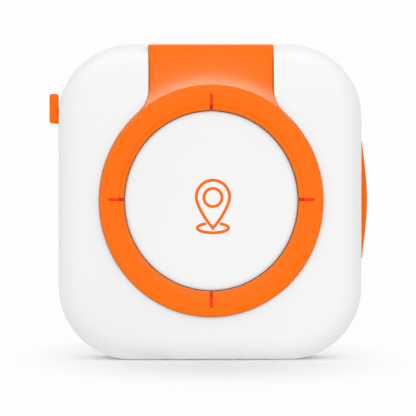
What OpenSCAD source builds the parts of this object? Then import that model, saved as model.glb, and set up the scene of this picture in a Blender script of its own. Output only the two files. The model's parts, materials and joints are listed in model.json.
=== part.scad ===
// Pocket locator: a rounded square case with a raised face ring, a centre button and two side keys.
// X runs to the right, Z up, and the front faces -Y. The origin is the middle of the flat base.

/* [Case] */
// Width of the case without its keys
body_w = 42.9; // [42:0.1:50]
// Height of the case
body_h = 44.6; // [44:0.1:52]
// Depth of the case without the ring
body_d = 18; // [17.6:0.1:22]
// Radius of the case corners seen from the front
corner_r = 10.3; // [9.6:0.1:11]
// Rounding of the front edge
front_round = 4; // [3:0.1:4.4]
// Rounding of the rear edge
rear_round = 3; // [2.4:0.1:3.4]
// How far the front face swells from its margin to its middle
front_swell = 0.6; // [0.2:0.1:0.8]
// Wall of both shells
wall = 1.8; // [1.7:0.1:2]
// Distance of the parting plane behind the middle of the case
seam_back = 2; // [1.9:0.1:2.4]

/* [Face ring] */
// Half width of the ring
ring_r = 15.8; // [15.2:0.1:16.2]
// Half width of the ring's opening
ring_bore_r = 12.4; // [11.8:0.05:12.6]
// Thickness of the ring
ring_t = 1.8; // [1.6:0.1:2]
// Height of the ring as a share of its width
ring_tall_share = 1.036; // [1:0.004:1.04]
// How far the ring stands in front of the case
ring_proud = 0.7; // [0.5:0.1:1]
// Height of the ring's centre above the middle of the case
ring_rise = 0.25; // [0:0.05:0.6]
// Width of the slope at the ring's inner edge
bevel_w = 0.65; // [0.4:0.05:0.8]
// Depth of the slope at the ring's inner edge
bevel_d = 0.75; // [0.5:0.05:0.8]
// Width of one red mark
mark_w = 0.45; // [0.35:0.05:0.7]
// Length of one red mark
mark_l = 2.15; // [1.6:0.05:2.6]

/* [Strap] */
// Width of the strap over the top edge
strap_w = 17.6; // [16:0.1:18]
// Thickness of the strap
strap_t = 0.9; // [0.8:0.05:1]
// How far the strap runs down the back
strap_drop = 14; // [10:0.5:16]
// How far the strap's front lies behind the ring's face at the top edge
strap_sink = 2; // [1.8:0.1:2.2]
// Radius of the fillet between the strap and the ring
strap_fillet = 3.6; // [2.6:0.1:4]

/* [Buttons] */
// Gap between the button cap and the ring
cap_gap = 0.1; // [0.1:0.05:0.2]
// Travel of the centre button
cap_travel = 0.5; // [0.3:0.05:0.5]
// Travel of the side keys
key_travel = 0.4; // [0.2:0.05:0.4]
// Depth of both keys from front to back
key_d = 4; // [3.4:0.1:4]
// Length of the power key
power_l = 4.2; // [3.6:0.1:5]
// How far the power key stands out
power_proud = 1.3; // [0.8:0.1:1.6]
// Length of the power key's upper end that hangs over the corner of the case
power_over = 1.4; // [1:0.1:1.6]
// Length of the side key
side_l = 16.6; // [14:0.1:18]
// How far the side key's ends stand out
side_end_proud = 0.2; // [0.1:0.05:0.3]
// How far the side key's middle stands out
side_proud = 0.9; // [0.5:0.05:1]

/* [Inside] */
// Radius of the shank of a case screw
screw_r = 0.8; // [0.7:0.05:0.9]
// Radius of the head of a case screw
screw_head_r = 1.6; // [1.4:0.05:1.7]
// Thickness of the main board
board_t = 1; // [0.8:0.1:1]
// Room between the battery and the side walls
battery_side_gap = 4.4; // [3.5:0.1:6]
// Gap between the battery and the screw sleeves above it
battery_top_gap = 0.8; // [0.5:0.1:4]
// Gap between the battery and the main board
battery_board_gap = 0.7; // [0.5:0.1:1.5]

/* [Hidden] */
$fn = 48;

// Side, height sign and turn of each corner of a rounded rectangle
CORNERS = [[1, 1, 0], [-1, 1, 90], [-1, -1, 180], [1, -1, 270]];

// Case. Depths are measured from the middle of the case, towards the front.
front_z = body_d / 2;
seam_z = -seam_back;
inner_w = body_w - 2 * wall;
inner_h = body_h - 2 * wall;
rear_in_z = wall - front_z;
edge_wall = 1.2;
ceiling_z = front_z - front_swell - front_round
    + sqrt(pow(front_round - edge_wall, 2) - pow(front_round - wall, 2));
overrun = 0.5;
fit_gap = 0.05;
round_steps = 6;
swell_steps = 3;
rear_swell = 0;

// Ring, strap and the drum of the front shell that carries them
ring_y = body_h / 2 + ring_rise;
ring_z = front_z + ring_proud;
ring_seat = ring_z - ring_t;
ring_edge = 0.25;
ring_lip = 0.85;
mark_under = 0.2;
mark_floor = ring_z - bevel_d - mark_under;
flange_over = 0.8;
flange_r = ring_bore_r + flange_over;
pocket_r = flange_r + cap_gap;
lip_z = ring_z - bevel_d - ring_lip;
strap_z = ring_z - strap_sink;
strap_bed = strap_z - strap_t;
strap_edge = 0.5;
strap_end_r = 3;
fillet_steps = 6;
ramp_steps = 7;
ramp_lip = 0.1;
stake_r = 0.7;
stake_ring_r = 14.6;
stake_tip = 0.6;

// Centre button
cap_sink = 0.1;
cap_z = ring_z - bevel_d - cap_sink;
cap_edge = 0.3;
flange_gap = 0.1;
flange_t = 0.6;
cap_back = lip_z - flange_gap - flange_t;
pocket_z = cap_back - cap_travel - flange_gap;
floor_t = 1.2;
drum_back = pocket_z - floor_t;
drum_over = 1;
guide_r = 0.9;
guide_ring_r = 9.5;
guide_reach = 0.4;
post_r = 2.2;
post_gap = 0.4;

// Keys. Each has a flange behind a flat pad of the front shell.
key_z = 1.5;
key_gap = 0.1;
key_pad_t = 0.9;
key_seat_x = inner_w / 2 - key_pad_t;
key_pad_over = 0.9;
key_flange_over = 0.5;
key_flange_t = 0.6;
key_flange_x = key_seat_x - key_gap - key_flange_t;
key_pad_in = 1.5;
power_below = 9.1;
power_y = body_h - power_below;
power_round = 0.4;
power_sink = 0.1;
power_in_x = body_w / 2 - power_sink;
side_y = ring_y;
side_round = 0.5;
side_bell_share = 1.45;
side_steps = 14;

// Switches
switch_h = 2.4;
switch_w = 4.6;
side_switch_w = 3.5;
switch_l = 2.8;
switch_lid_t = 0.3;
plunger_r = 0.7;
plunger_gap = 0.1;
plunger_in = 0.5;
stop_room = 0.2;
button_plunger_r = 1;
pad_t = 0.6;
pad_r = 2;
switch_clear = 0.4;

// Board
board_z = key_z - switch_h / 2;
board_back = board_z - board_t;
board_side_gap = 0.45;
board_w = 2 * (key_flange_x - key_travel - board_side_gap);
board_margin = 0.6;
board_h = inner_h - 2 * board_margin;
board_corner = 7.5;
side_switch_x = key_flange_x - key_travel - switch_clear;
button_switch_top = board_z + switch_h;
pad_top = button_switch_top + cap_travel + switch_clear + pad_t;

// Screws and their bosses
screw_out_x = 1.2;
screw_out_y = 5.3;
boss_r = 2.5;
sleeve_r = 2.4;
screw_x = max(body_w / 2 - corner_r + screw_out_x, strap_w / 2 + fit_gap + boss_r);
screw_low_y = corner_r - screw_out_y;
screw_high_y = body_h - screw_low_y;
SCREWS = [for (x = [-screw_x, screw_x]) for (y = [screw_low_y, screw_high_y]) [x, y]];
insert_r = 1.4;
insert_l = 3;
thread_gap = 0.02;
shank_gap = 0.2;
head_t = 1.2;
head_sink = 0.4;
head_gap = 0.15;
counterbore_r = screw_head_r + head_gap;
drive_r = 0.7;
drive_d = 0.6;
tip_room = 0.4;
head_seat = -front_z + head_sink + head_t;
screw_end = board_z + insert_l + tip_room;

// Seam. Each rim has a small chamfer, and the two make a groove round the case.
seam_groove = 0.15;
tongue_in = 1;
tongue_t = 0.8;
tongue_h = 0.8;
gasket_h = 0.4;
gasket_t = 0.7;

// Parts in the rear shell
foam_t = 0.8;
speaker_share = 0.73;
speaker_h = 9;
speaker_t = 3;
speaker_low = 2.4;
speaker_round = 2;
hole_r = 0.5;
hole_pitch = 1.9;
hole_columns = 5;
hole_rows = 3;
contact_r = 0.8;
contact_head_r = 1.1;
contact_head_t = 0.5;
contact_pitch = 3.4;
contact_count = 4;
contact_gap = 1.6;
battery_low_gap = 1.3;
battery_round = 1.2;
battery_w = inner_w - 2 * battery_side_gap;
speaker_w = 2 * speaker_share * (screw_x - sleeve_r);
speaker_y = wall + speaker_low + speaker_h / 2;
contact_y = speaker_y + speaker_h / 2 + contact_gap + contact_head_r;
battery_base = contact_y + contact_r + battery_low_gap;
battery_h = screw_high_y - sleeve_r - battery_top_gap - battery_base;
battery_y = battery_base + battery_h / 2;
battery_t = board_back - battery_board_gap - foam_t - rear_in_z;
motor_r = 3.5;
motor_t = 2.7;
motor_gap = 0.3;
rib_gap = 0.3;
rib_t = 0.8;
rib_h = 2.4;
motor_x = speaker_w / 2 + rib_gap + rib_t + motor_gap + motor_r;
motor_y = battery_base - rib_gap - rib_t - motor_gap - motor_r;
bed_d = 0.4;
bed_side = 1.1;
bed_w = (contact_count - 1) * contact_pitch + 2 * (contact_head_r + bed_side);
bed_h = 2 * (contact_head_r + bed_side);
bed_round = 1.6;

// Parts on the front of the board
part_gap = 0.4;
can_round = 0.8;
can_lid_t = 0.3;
can_lid_in = 0.5;
can_share = 0.56;
can_t = 2.4;
can_low = 4.1;
can_over = 1.5;
can_room = 2 * (screw_x - boss_r - part_gap) - part_gap;
can_w = can_share * can_room;
can_h = ring_y - switch_w / 2 - can_over - can_low;
can_x = -(can_room + part_gap - can_w) / 2;
can_y = can_low + can_h / 2;
mic_w = 3.5;
mic_h = 2.6;
mic_t = 1.1;
mic_room = 1.35;
mic_x = screw_x - boss_r - mic_room - mic_w / 2;
mic_y = 4.6;
mic_hole_r = 0.5;
chip_t = 1.8;
chip_over = 2.8;
chip_low = mic_y + mic_h / 2 + chip_over;
chip_w = can_room - can_w;
chip_h = can_low + can_h - chip_low;
chip_x = (can_room + part_gap - chip_w) / 2;
chip_y = chip_low + chip_h / 2;
patch_room = 1.3;
patch_gap = 3.4;
patch_top_gap = 1.5;
patch_h = drum_back - board_z - patch_room;
patch_w = body_h - wall - patch_top_gap - ring_y - switch_w / 2 - patch_gap;
patch_y = body_h - wall - patch_top_gap - patch_w / 2;
patch_pin_r = 0.6;
patch_plate_t = 0.2;
patch_plate_in = 1;

// Card and its holder on the back of the board, and the antenna strip on the case's ceiling
card_w = 8.8;
card_h = 12.3;
card_t = 0.67;
card_gap = 0.05;
card_seat = 0.3;
card_room = 0.55;
holder_w = 12;
holder_h = 10;
holder_t = 1.4;
holder_y = contact_y - contact_r - card_room - card_h / 2;
strip_side = 1;
strip_w = body_w - 2 * (corner_r + strip_side);
strip_over = 0.5;
strip_room = 1.1;
strip_low = seam_z + strip_over;
strip_d = drum_back - strip_room - strip_low;
strip_t = 0.3;

// Turns a module drawn flat, front up, so that it stands with its front towards -Y
module upright() rotate([90, 0, 0]) children();

// Stands a piece on each of the four corner centres of a rounded rectangle and turns it outwards
module at_corners(cx, cy) for (corner = CORNERS)
    translate([corner.x * cx, corner.y * cy, 0]) rotate([0, 0, corner.z]) children();

// Moves to the ring's axis and stretches to the ring's height
module on_ring() translate([0, ring_y, 0]) scale([1, ring_tall_share, 1]) children();

// Points of a shell's edge, from its open rim round to its face
function edge_points(reach, depth, round_r, swell) =
    let(flat_x = reach - round_r, turn = 90 - atan(2 * swell / flat_x),
        end_x = flat_x + round_r * cos(turn), mid_z = depth - swell - round_r * sin(turn))
    concat([[reach - seam_groove, 0], [reach, seam_groove]], arc(flat_x, mid_z, round_r, 0, turn),
        [for (i = [1:swell_steps - 1]) let(s = 1 - i / swell_steps) if (swell > 0)
            [end_x * s, depth - swell * s * s]],
        [[0, depth]]);

// Points of an arc round a centre, from angle a0 to a1
function arc(cx, cy, r, a0, a1) = [for (i = [0:round_steps]) let(a = a0 + (a1 - a0) * i / round_steps)
    [cx + r * cos(a), cy + r * sin(a)]];

function flip(points) = [for (i = [len(points) - 1:-1:0]) [-points[i].x, points[i].y]];
function shift(points, x) = [for (p = points) [p.x + x, p.y]];

// One half of the case, from its open rim at zero to its swollen face
module pillow(w, h, corner, depth, round_r, swell) {
    edge = edge_points(corner, depth, round_r, swell);
    cx = w / 2 - corner;
    cy = h / 2 - corner;
    translate([0, cy, 0]) rotate([90, 0, 0]) linear_extrude(2 * cy)
        polygon(concat(shift(edge, cx), flip(shift(edge, cx))));
    rotate([0, 0, 90]) translate([0, cx, 0]) rotate([90, 0, 0]) linear_extrude(2 * cx)
        polygon(concat(shift(edge, cy), flip(shift(edge, cy))));
    at_corners(cx, cy) rotate_extrude(angle = 90) polygon(concat([[0, 0]], edge));
}

module case_front() translate([0, body_h / 2, seam_z])
    pillow(body_w, body_h, corner_r, front_z - seam_z, front_round, front_swell);

module case_rear(inset) translate([0, body_h / 2, seam_z]) mirror([0, 0, 1])
    pillow(body_w - 2 * inset, body_h - 2 * inset, corner_r - inset, front_z + seam_z - inset,
        rear_round - inset, rear_swell);

// Flat plate with round corners, from z0 to z1, with its middle over the origin
module plate(w, h, r, z0, z1) translate([0, 0, z0]) {
    cx = w / 2 - r;
    cy = h / 2 - r;
    translate([-w / 2, -cy, 0]) cube([w, 2 * cy, z1 - z0]);
    translate([-cx, -h / 2, 0]) cube([2 * cx, h, z1 - z0]);
    at_corners(cx, cy) rotate_extrude(angle = 90) square([r, z1 - z0]);
}

module seam_band(inset, t, z0, z1) translate([0, body_h / 2, 0]) difference() {
    plate(body_w - 2 * inset, body_h - 2 * inset, corner_r - inset, z0, z1);
    plate(body_w - 2 * (inset + t), body_h - 2 * (inset + t), corner_r - inset - t,
        z0 - overrun, z1 + overrun);
}

// Outline of the neck from the ring to the top edge, grown by a gap. The fillet on each side
// is stretched with the ring, and its last point lies just under the ring's edge.
function neck_points(gap, top) =
    let(half = strap_w / 2 + gap, rad = strap_fillet - gap, fx = half + rad,
        fy = sqrt(pow(ring_r + strap_fillet, 2) - fx * fx), a1 = atan2(-fy, -fx) + 360,
        fillet = [for (i = [0:fillet_steps - 1]) let(a = 180 + (a1 - 180) * i / fillet_steps)
            [fx + rad * cos(a), fy + rad * sin(a)]],
        inner = [fx, fy] * (ring_r - ring_edge) / (ring_r + strap_fillet),
        side = [for (p = concat(fillet, [inner])) [p.x, p.y * ring_tall_share]])
    concat([[half, top - ring_y]], side, flip(side), [[-half, top - ring_y]]);

module neck_prism(gap, top, z0, z1) translate([0, ring_y, z0]) linear_extrude(z1 - z0)
    polygon(neck_points(gap, top));

// Side view of the strap, over the top and down the back; grow moves its outer side outwards
function strap_points(grow) =
    let(rear_x = rear_round - front_z, rear_y = body_h - rear_round, end_y = body_h - strap_drop - grow,
        start_y = body_h - strap_t - strap_edge)
    concat([[strap_z + grow, start_y]],
        arc(strap_z - strap_edge, body_h - strap_edge, strap_edge + grow, 0, 90),
        arc(rear_x, rear_y, rear_round + grow, 90, 180),
        [[-front_z - grow, end_y], [strap_t - front_z, end_y]],
        arc(rear_x, rear_y, rear_round - strap_t, 180, 90),
        [[strap_bed, body_h - strap_t], [strap_bed, start_y]]);

module strap_run(gap, grow) intersection() {
    translate([-strap_w / 2 - gap, 0, 0]) rotate([0, -90, 0]) mirror([0, 0, 1])
        linear_extrude(strap_w + 2 * gap) polygon(strap_points(grow));
    translate([0, body_h, 0])
        plate(strap_w + 2 * gap, 2 * (strap_drop + gap), strap_end_r + gap, -body_d, body_d);
}

// Ring: section from the bore out, and the hollow ramp that the neck is cut from
module ring_section() polygon([
    [ring_bore_r, lip_z], [ring_bore_r, ring_z - bevel_d], [ring_bore_r + bevel_w, ring_z],
    [ring_r - ring_edge, ring_z], [ring_r, ring_z - ring_edge], [ring_r, ring_seat],
    [pocket_r, ring_seat], [pocket_r, lip_z]]);

module ramp_section() {
    run = (body_h - ring_y) / ring_tall_share - ring_r;
    drop = strap_sink - ramp_lip;
    hollow_r = (run * run + drop * drop) / (2 * drop);
    far_r = 2 * ring_r;
    polygon(concat([[ring_r - ring_edge, strap_bed], [far_r, strap_bed], [far_r, strap_z]],
        [for (i = [0:ramp_steps]) let(x = run * (1 - i / ramp_steps))
            [ring_r + x, strap_z + hollow_r - sqrt(hollow_r * hollow_r - pow(run - x, 2))]],
        [[ring_r - ring_edge, ring_z - ramp_lip]]));
}

module neck() intersection() {
    neck_prism(0, body_h - strap_edge, strap_bed, ring_z);
    on_ring() rotate_extrude() ramp_section();
}

module mark_slots(z0) for (q = [0:3]) {
    reach = ring_bore_r * (q % 2 == 0 ? 1 : ring_tall_share);
    translate([0, ring_y, z0]) rotate([0, 0, 90 * q]) translate([reach - overrun, -mark_w / 2, 0])
        cube([mark_l + overrun, mark_w, ring_z]);
}

module ring_annulus() on_ring() rotate_extrude($fn = 96) ring_section();

module face_ring() color("darkorange") upright() difference() {
    union() {
        ring_annulus();
        neck();
        strap_run(0, 0);
        for (a = [45:90:315]) translate([0, ring_y, 0]) rotate([0, 0, a])
            translate([stake_ring_r, 0, drum_back - stake_tip])
            cylinder(r = stake_r, h = ring_seat + stake_tip - drum_back + overrun);
    }
    mark_slots(mark_floor);
}

module ring_marks() color("orangered") upright() intersection() {
    ring_annulus();
    mark_slots(mark_floor);
}

// Shells
module screw_places() for (p = SCREWS) translate([p.x, p.y, 0]) children();

module key_place(side, y) translate([0, y, key_z]) mirror([side < 0 ? 1 : 0, 0, 0]) children();

module key_pad(l) translate([key_seat_x, -l / 2 - key_pad_over, -key_d / 2 - key_pad_over / 2])
    cube([body_w / 2 - key_pad_in + key_gap - key_seat_x, l + 2 * key_pad_over, key_d + key_pad_over]);

// Opening for a key, from a depth under the side of the case outwards; its upper end stops short
module key_slot(l, x0, short) translate([x0, -l / 2 - key_gap, -key_d / 2 - key_gap])
    cube([body_w / 2, l - short + 2 * key_gap, key_d + 2 * key_gap]);

module front_shell() color("whitesmoke") upright() difference() {
    union() {
        difference() {
            case_front();
            translate([0, body_h / 2, 0])
                plate(inner_w, inner_h, corner_r - wall, seam_z - overrun, ceiling_z);
        }
        on_ring() translate([0, 0, drum_back])
            cylinder(r = ring_r + drum_over, h = ring_seat - drum_back);
        neck_prism(drum_over, body_h - wall, drum_back, strap_bed);
        screw_places() translate([0, 0, board_z])
            cylinder(r = boss_r, h = ceiling_z + wall / 2 - board_z);
        key_place(-1, power_y) key_pad(power_l);
        key_place(1, side_y) key_pad(side_l);
    }
    seam_band(tongue_in - fit_gap, wall, seam_z - overrun, seam_z + tongue_h + gasket_h);
    on_ring() translate([0, 0, ring_seat]) cylinder(r = ring_r + fit_gap, h = ring_z);
    on_ring() translate([0, 0, pocket_z]) cylinder(r = pocket_r, h = ring_z);
    neck_prism(fit_gap, body_h - strap_edge, strap_bed, ring_z);
    strap_run(fit_gap, overrun);
    translate([0, ring_y, 0]) {
        translate([0, 0, drum_back - overrun]) cylinder(r = post_r + post_gap, h = ring_z);
        for (a = [30:120:270]) rotate([0, 0, a]) translate([guide_ring_r, 0, drum_back - overrun])
            cylinder(r = guide_r + fit_gap, h = ring_z);
        for (a = [45:90:315]) rotate([0, 0, a]) translate([stake_ring_r, 0, drum_back - overrun])
            cylinder(r = stake_r + fit_gap, h = ring_z);
    }
    screw_places() translate([0, 0, board_z - overrun]) {
        cylinder(r = insert_r + thread_gap, h = insert_l + overrun);
        cylinder(r = screw_r + shank_gap, h = insert_l + 2 * tip_room + overrun);
    }
    key_place(-1, power_y) {
        key_slot(power_l, key_seat_x - overrun, power_over);
        key_slot(power_l, power_in_x - key_travel - key_gap, 0);
    }
    key_place(1, side_y) key_slot(side_l, key_seat_x - overrun, 0);
    translate([mic_x, -overrun, board_z + mic_t / 2]) rotate([-90, 0, 0])
        cylinder(r = mic_hole_r, h = wall + 2 * overrun);
}

module speaker_holes() for (i = [0:hole_columns - 1]) for (j = [0:hole_rows - 1])
    translate([(i - (hole_columns - 1) / 2) * hole_pitch,
        speaker_y + (j - (hole_rows - 1) / 2) * hole_pitch, -front_z - overrun])
        cylinder(r = hole_r, h = wall + 2 * overrun);

module contact_places() for (i = [0:contact_count - 1])
    translate([(i - (contact_count - 1) / 2) * contact_pitch, contact_y, bed_d - front_z]) children();

// Frame of ribs round a piece that lies on the rear wall
module rib_frame(w, h, y, r) translate([0, y, 0]) difference() {
    plate(w + 2 * (rib_gap + rib_t), h + 2 * (rib_gap + rib_t), r + rib_gap + rib_t,
        rear_in_z - wall / 2, rear_in_z + rib_h);
    plate(w + 2 * rib_gap, h + 2 * rib_gap, r + rib_gap, rear_in_z, rear_in_z + rib_h + overrun);
}

module rear_shell() color("whitesmoke") upright() difference() {
    union() {
        difference() {
            case_rear(0);
            case_rear(wall);
        }
        seam_band(tongue_in, tongue_t, seam_z, seam_z + tongue_h);
        rib_frame(battery_w, battery_h, battery_y, battery_round);
        rib_frame(speaker_w, speaker_h, speaker_y, speaker_round);
        screw_places() translate([0, 0, rear_in_z - wall / 2])
            cylinder(r = sleeve_r, h = board_back + wall / 2 - rear_in_z);
    }
    strap_run(fit_gap, overrun);
    screw_places() translate([0, 0, -front_z - overrun]) {
        cylinder(r = counterbore_r, h = head_sink + head_t + overrun);
        cylinder(r = screw_r + shank_gap, h = front_z);
    }
    speaker_holes();
    translate([0, contact_y, 0]) plate(bed_w, bed_h, bed_round, -front_z - overrun, bed_d - front_z);
    contact_places() translate([0, 0, -overrun]) {
        cylinder(r = contact_head_r + fit_gap, h = contact_head_t + overrun);
        cylinder(r = contact_r + fit_gap, h = wall + 2 * overrun);
    }
}

// Centre button: a cap with a flange held under the ring, three guide pins and a post
module button_cap() color("white") upright() {
    on_ring() {
        translate([0, 0, cap_back]) cylinder(r = flange_r, h = flange_t);
        rotate_extrude($fn = 96) polygon([[0, cap_back], [ring_bore_r - cap_gap, cap_back],
            [ring_bore_r - cap_gap, cap_z - cap_edge], [ring_bore_r - cap_gap - cap_edge, cap_z],
            [0, cap_z]]);
    }
    translate([0, ring_y, 0]) {
        for (a = [30:120:270]) rotate([0, 0, a]) translate([guide_ring_r, 0, drum_back - guide_reach])
            cylinder(r = guide_r, h = cap_back - drum_back + guide_reach + fit_gap);
        translate([0, 0, pad_top]) cylinder(r = post_r, h = cap_back - pad_top + fit_gap);
    }
}

module button_pad() color("gainsboro") upright() translate([0, ring_y, pad_top - pad_t])
    cylinder(r = pad_r, h = pad_t);

module button_plunger() color("dimgray") upright()
    translate([0, ring_y, button_switch_top - plunger_in])
    cylinder(r = button_plunger_r, h = pad_top - pad_t - button_switch_top + plunger_in);

// Switch drawn with its plunger bore along +Z, standing on zero
module push_switch(w, l, h, bore_r, depth) difference() {
    union() {
        translate([-w / 2, -l / 2, 0]) cube([w, l, h - switch_lid_t]);
        translate([-w / 2 + switch_lid_t, -l / 2 + switch_lid_t, 0])
            cube([w - 2 * switch_lid_t, l - 2 * switch_lid_t, h]);
    }
    translate([0, 0, h - depth]) cylinder(r = bore_r, h = depth + overrun);
}

module button_switch() color("silver") upright() translate([0, ring_y, board_z])
    push_switch(switch_w, switch_w, switch_h, button_plunger_r + plunger_gap,
        plunger_in + cap_travel + stop_room);

// Side keys
module key_flange(l) translate([key_flange_x, -l / 2 - key_flange_over, -key_d / 2 - key_flange_over])
    cube([key_flange_t, l + 2 * key_flange_over, key_d + 2 * key_flange_over]);

// Key cap: its outline seen from the front, with its outer edges rounded front and back
module key_body(points, proud, r) intersection() {
    translate([0, 0, -key_d / 2]) linear_extrude(key_d) polygon(points);
    rotate([90, 0, 0]) linear_extrude(2 * side_l, center = true)
        polygon(cap_points(body_w / 2 + proud, key_d, r));
}

// Section of a key cap with its two outer corners rounded
function cap_points(x1, l, r) = let(x0 = key_flange_x + key_flange_t - fit_gap, h = l / 2)
    concat([[x0, -h]], arc(x1 - r, r - h, r, -90, 0), arc(x1 - r, h - r, r, 0, 90), [[x0, h]]);

// Outline of the power key, whose upper end hangs over the corner of the case
function power_points() =
    let(x0 = key_flange_x + key_flange_t - fit_gap, x1 = body_w / 2 + power_proud, h = power_l / 2,
        r = power_round)
    concat([[x0, -h]], arc(x1 - r, r - h, r, -90, 0), arc(x1 - r, h - r, r, 0, 90),
        arc(power_in_x + r, h - r, r, 90, 180), [[power_in_x, h - power_over], [x0, h - power_over]]);

function side_points() =
    let(x0 = key_flange_x + key_flange_t - fit_gap, h = side_l / 2, base = body_w / 2 + side_end_proud)
    concat([[x0, -h]],
        [for (i = [0:side_steps]) let(t = 2 * i / side_steps - 1)
            [base + (side_proud - side_end_proud) * pow(1 - t * t, side_bell_share), h * t]],
        [[x0, h]]);

module power_key() color("darkorange") upright() key_place(-1, power_y) {
    key_body(power_points(), power_proud, power_round);
    key_flange(power_l);
}

module side_key() color("darkorange") upright() key_place(1, side_y) {
    key_body(side_points(), side_proud, side_round);
    key_flange(side_l);
}

module side_plunger_at(side, y) key_place(side, y) translate([side_switch_x - plunger_in, 0, 0])
    rotate([0, 90, 0]) cylinder(r = plunger_r, h = key_flange_x - side_switch_x + plunger_in);

module side_switch_at(side, y) key_place(side, y) translate([side_switch_x - switch_l, 0, 0])
    rotate([0, 90, 0])
    push_switch(switch_h, side_switch_w, switch_l, plunger_r + plunger_gap,
        plunger_in + key_travel + stop_room);

module power_plunger() color("dimgray") upright() side_plunger_at(-1, power_y);
module side_plunger() color("dimgray") upright() side_plunger_at(1, side_y);
module power_switch() color("silver") upright() side_switch_at(-1, power_y);
module side_switch() color("silver") upright() side_switch_at(1, side_y);

module housing_gasket() color("gray") upright()
    seam_band(tongue_in, gasket_t, seam_z + tongue_h, seam_z + tongue_h + gasket_h);

module main_board() color("darkgreen") upright() difference() {
    translate([0, body_h / 2, 0]) plate(board_w, board_h, board_corner, board_back, board_z);
    screw_places() translate([0, 0, board_back - overrun])
        cylinder(r = screw_r + shank_gap, h = board_t + 2 * overrun);
}

// Parts on the board
module can(w, h, t) {
    plate(w, h, can_round, 0, t - can_lid_t);
    plate(w - 2 * can_lid_in, h - 2 * can_lid_in, can_round, 0, t);
}

module cell_shield() color("silver") upright() translate([can_x, can_y, board_z])
    can(can_w, can_h, can_t);

module processor_shield() color("silver") upright() translate([chip_x, chip_y, board_z])
    can(chip_w, chip_h, chip_t);

module gps_antenna() color("tan") upright() translate([0, patch_y, board_z]) {
    plate(patch_w, patch_w, can_round, 0, patch_h);
    plate(patch_w - 2 * patch_plate_in, patch_w - 2 * patch_plate_in, can_round, 0,
        patch_h + patch_plate_t);
    cylinder(r = patch_pin_r, h = patch_h + 2 * patch_plate_t);
}

module card_holder() color("silver") upright() translate([0, holder_y, board_back - holder_t])
    difference() {
        plate(holder_w, holder_h, can_round, 0, holder_t);
        translate([-card_w / 2 - card_gap, -holder_h, card_seat])
            cube([card_w + 2 * card_gap, 2 * holder_h, card_t + 2 * card_gap]);
    }

module sim_card() color("ivory") upright()
    translate([0, holder_y, board_back - holder_t + card_gap + card_seat])
    plate(card_w, card_h, can_round, 0, card_t);

module microphone() color("silver") upright() translate([mic_x, mic_y, board_z])
    translate([-mic_w / 2, -mic_h / 2, 0]) cube([mic_w, mic_h, mic_t]);

// Parts in the rear shell
module battery() color("lightsteelblue") upright() translate([0, battery_y, 0])
    plate(battery_w, battery_h, battery_round, rear_in_z + foam_t, rear_in_z + foam_t + battery_t);

module battery_foam() color("slategray") upright() translate([0, battery_y, 0])
    plate(battery_w - 2 * battery_round, battery_h - 2 * battery_round, battery_round, rear_in_z,
        rear_in_z + foam_t);

module speaker() color("dimgray") upright() translate([0, speaker_y, rear_in_z]) {
    plate(speaker_w, speaker_h, speaker_round, 0, speaker_t - can_lid_t);
    plate(speaker_w - 2 * can_lid_in, speaker_h - 2 * can_lid_in, speaker_round, 0, speaker_t);
}

module vibration_motor() color("silver") upright() translate([motor_x, motor_y, rear_in_z])
    cylinder(r = motor_r, h = motor_t);

module charge_contacts() color("gold") upright() contact_places() {
    cylinder(r = contact_head_r, h = contact_head_t);
    cylinder(r = contact_r, h = front_z + board_back - bed_d);
}

module cell_antenna() color("peru") upright()
    translate([-strip_w / 2, body_h - wall - strip_t, strip_low])
    cube([strip_w, strip_t, strip_d]);

// Fasteners
module case_screws() color("dimgray") upright() screw_places() difference() {
    union() {
        translate([0, 0, head_seat - head_t]) cylinder(r = screw_head_r, h = head_t);
        translate([0, 0, head_seat]) cylinder(r = screw_r, h = screw_end - head_seat);
    }
    translate([0, 0, head_seat - head_t - overrun])
        cylinder(r = drive_r, h = drive_d + overrun, $fn = 6);
}

module threaded_inserts() color("goldenrod") upright() screw_places() translate([0, 0, board_z])
    difference() {
        cylinder(r = insert_r, h = insert_l);
        translate([0, 0, -overrun]) cylinder(r = screw_r + thread_gap, h = insert_l + 2 * overrun);
    }

front_shell();
rear_shell();
face_ring();
ring_marks();
button_cap();
button_pad();
button_plunger();
button_switch();
power_key();
power_plunger();
power_switch();
side_key();
side_plunger();
side_switch();
housing_gasket();
main_board();
battery();
battery_foam();
gps_antenna();
cell_shield();
processor_shield();
card_holder();
sim_card();
speaker();
microphone();
vibration_motor();
charge_contacts();
cell_antenna();
case_screws();
threaded_inserts();
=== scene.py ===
"""Pocket locator with an orange face ring, a strap over its top, a centre button and two side keys.

Sizes in the classes are millimetres, drawn with X to the right, Y up and Z towards the front.
A finished piece is stood upright and becomes metres, so that its front faces -Y.
"""

import json
import logging
import math
from dataclasses import dataclass
from enum import Enum
from typing import Iterable, Optional, Sequence, Union

import bmesh
import bpy
import numpy as np
from mathutils import Matrix, Vector
from mathutils.geometry import interpolate_bezier


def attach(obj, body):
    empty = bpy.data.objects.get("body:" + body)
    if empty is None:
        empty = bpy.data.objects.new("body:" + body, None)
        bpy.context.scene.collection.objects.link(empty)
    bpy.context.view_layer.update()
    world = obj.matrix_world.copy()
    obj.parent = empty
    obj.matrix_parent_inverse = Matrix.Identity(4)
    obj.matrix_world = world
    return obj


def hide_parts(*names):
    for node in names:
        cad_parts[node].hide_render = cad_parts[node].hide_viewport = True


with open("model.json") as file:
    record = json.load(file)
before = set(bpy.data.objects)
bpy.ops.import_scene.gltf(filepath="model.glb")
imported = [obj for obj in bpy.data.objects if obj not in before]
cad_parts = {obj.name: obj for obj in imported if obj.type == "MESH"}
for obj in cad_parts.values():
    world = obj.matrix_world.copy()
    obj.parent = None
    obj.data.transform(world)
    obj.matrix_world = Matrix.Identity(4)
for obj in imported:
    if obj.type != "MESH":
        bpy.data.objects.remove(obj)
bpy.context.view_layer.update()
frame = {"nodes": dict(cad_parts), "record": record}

LOG = logging.getLogger("locator")
MM = 0.001
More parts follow.
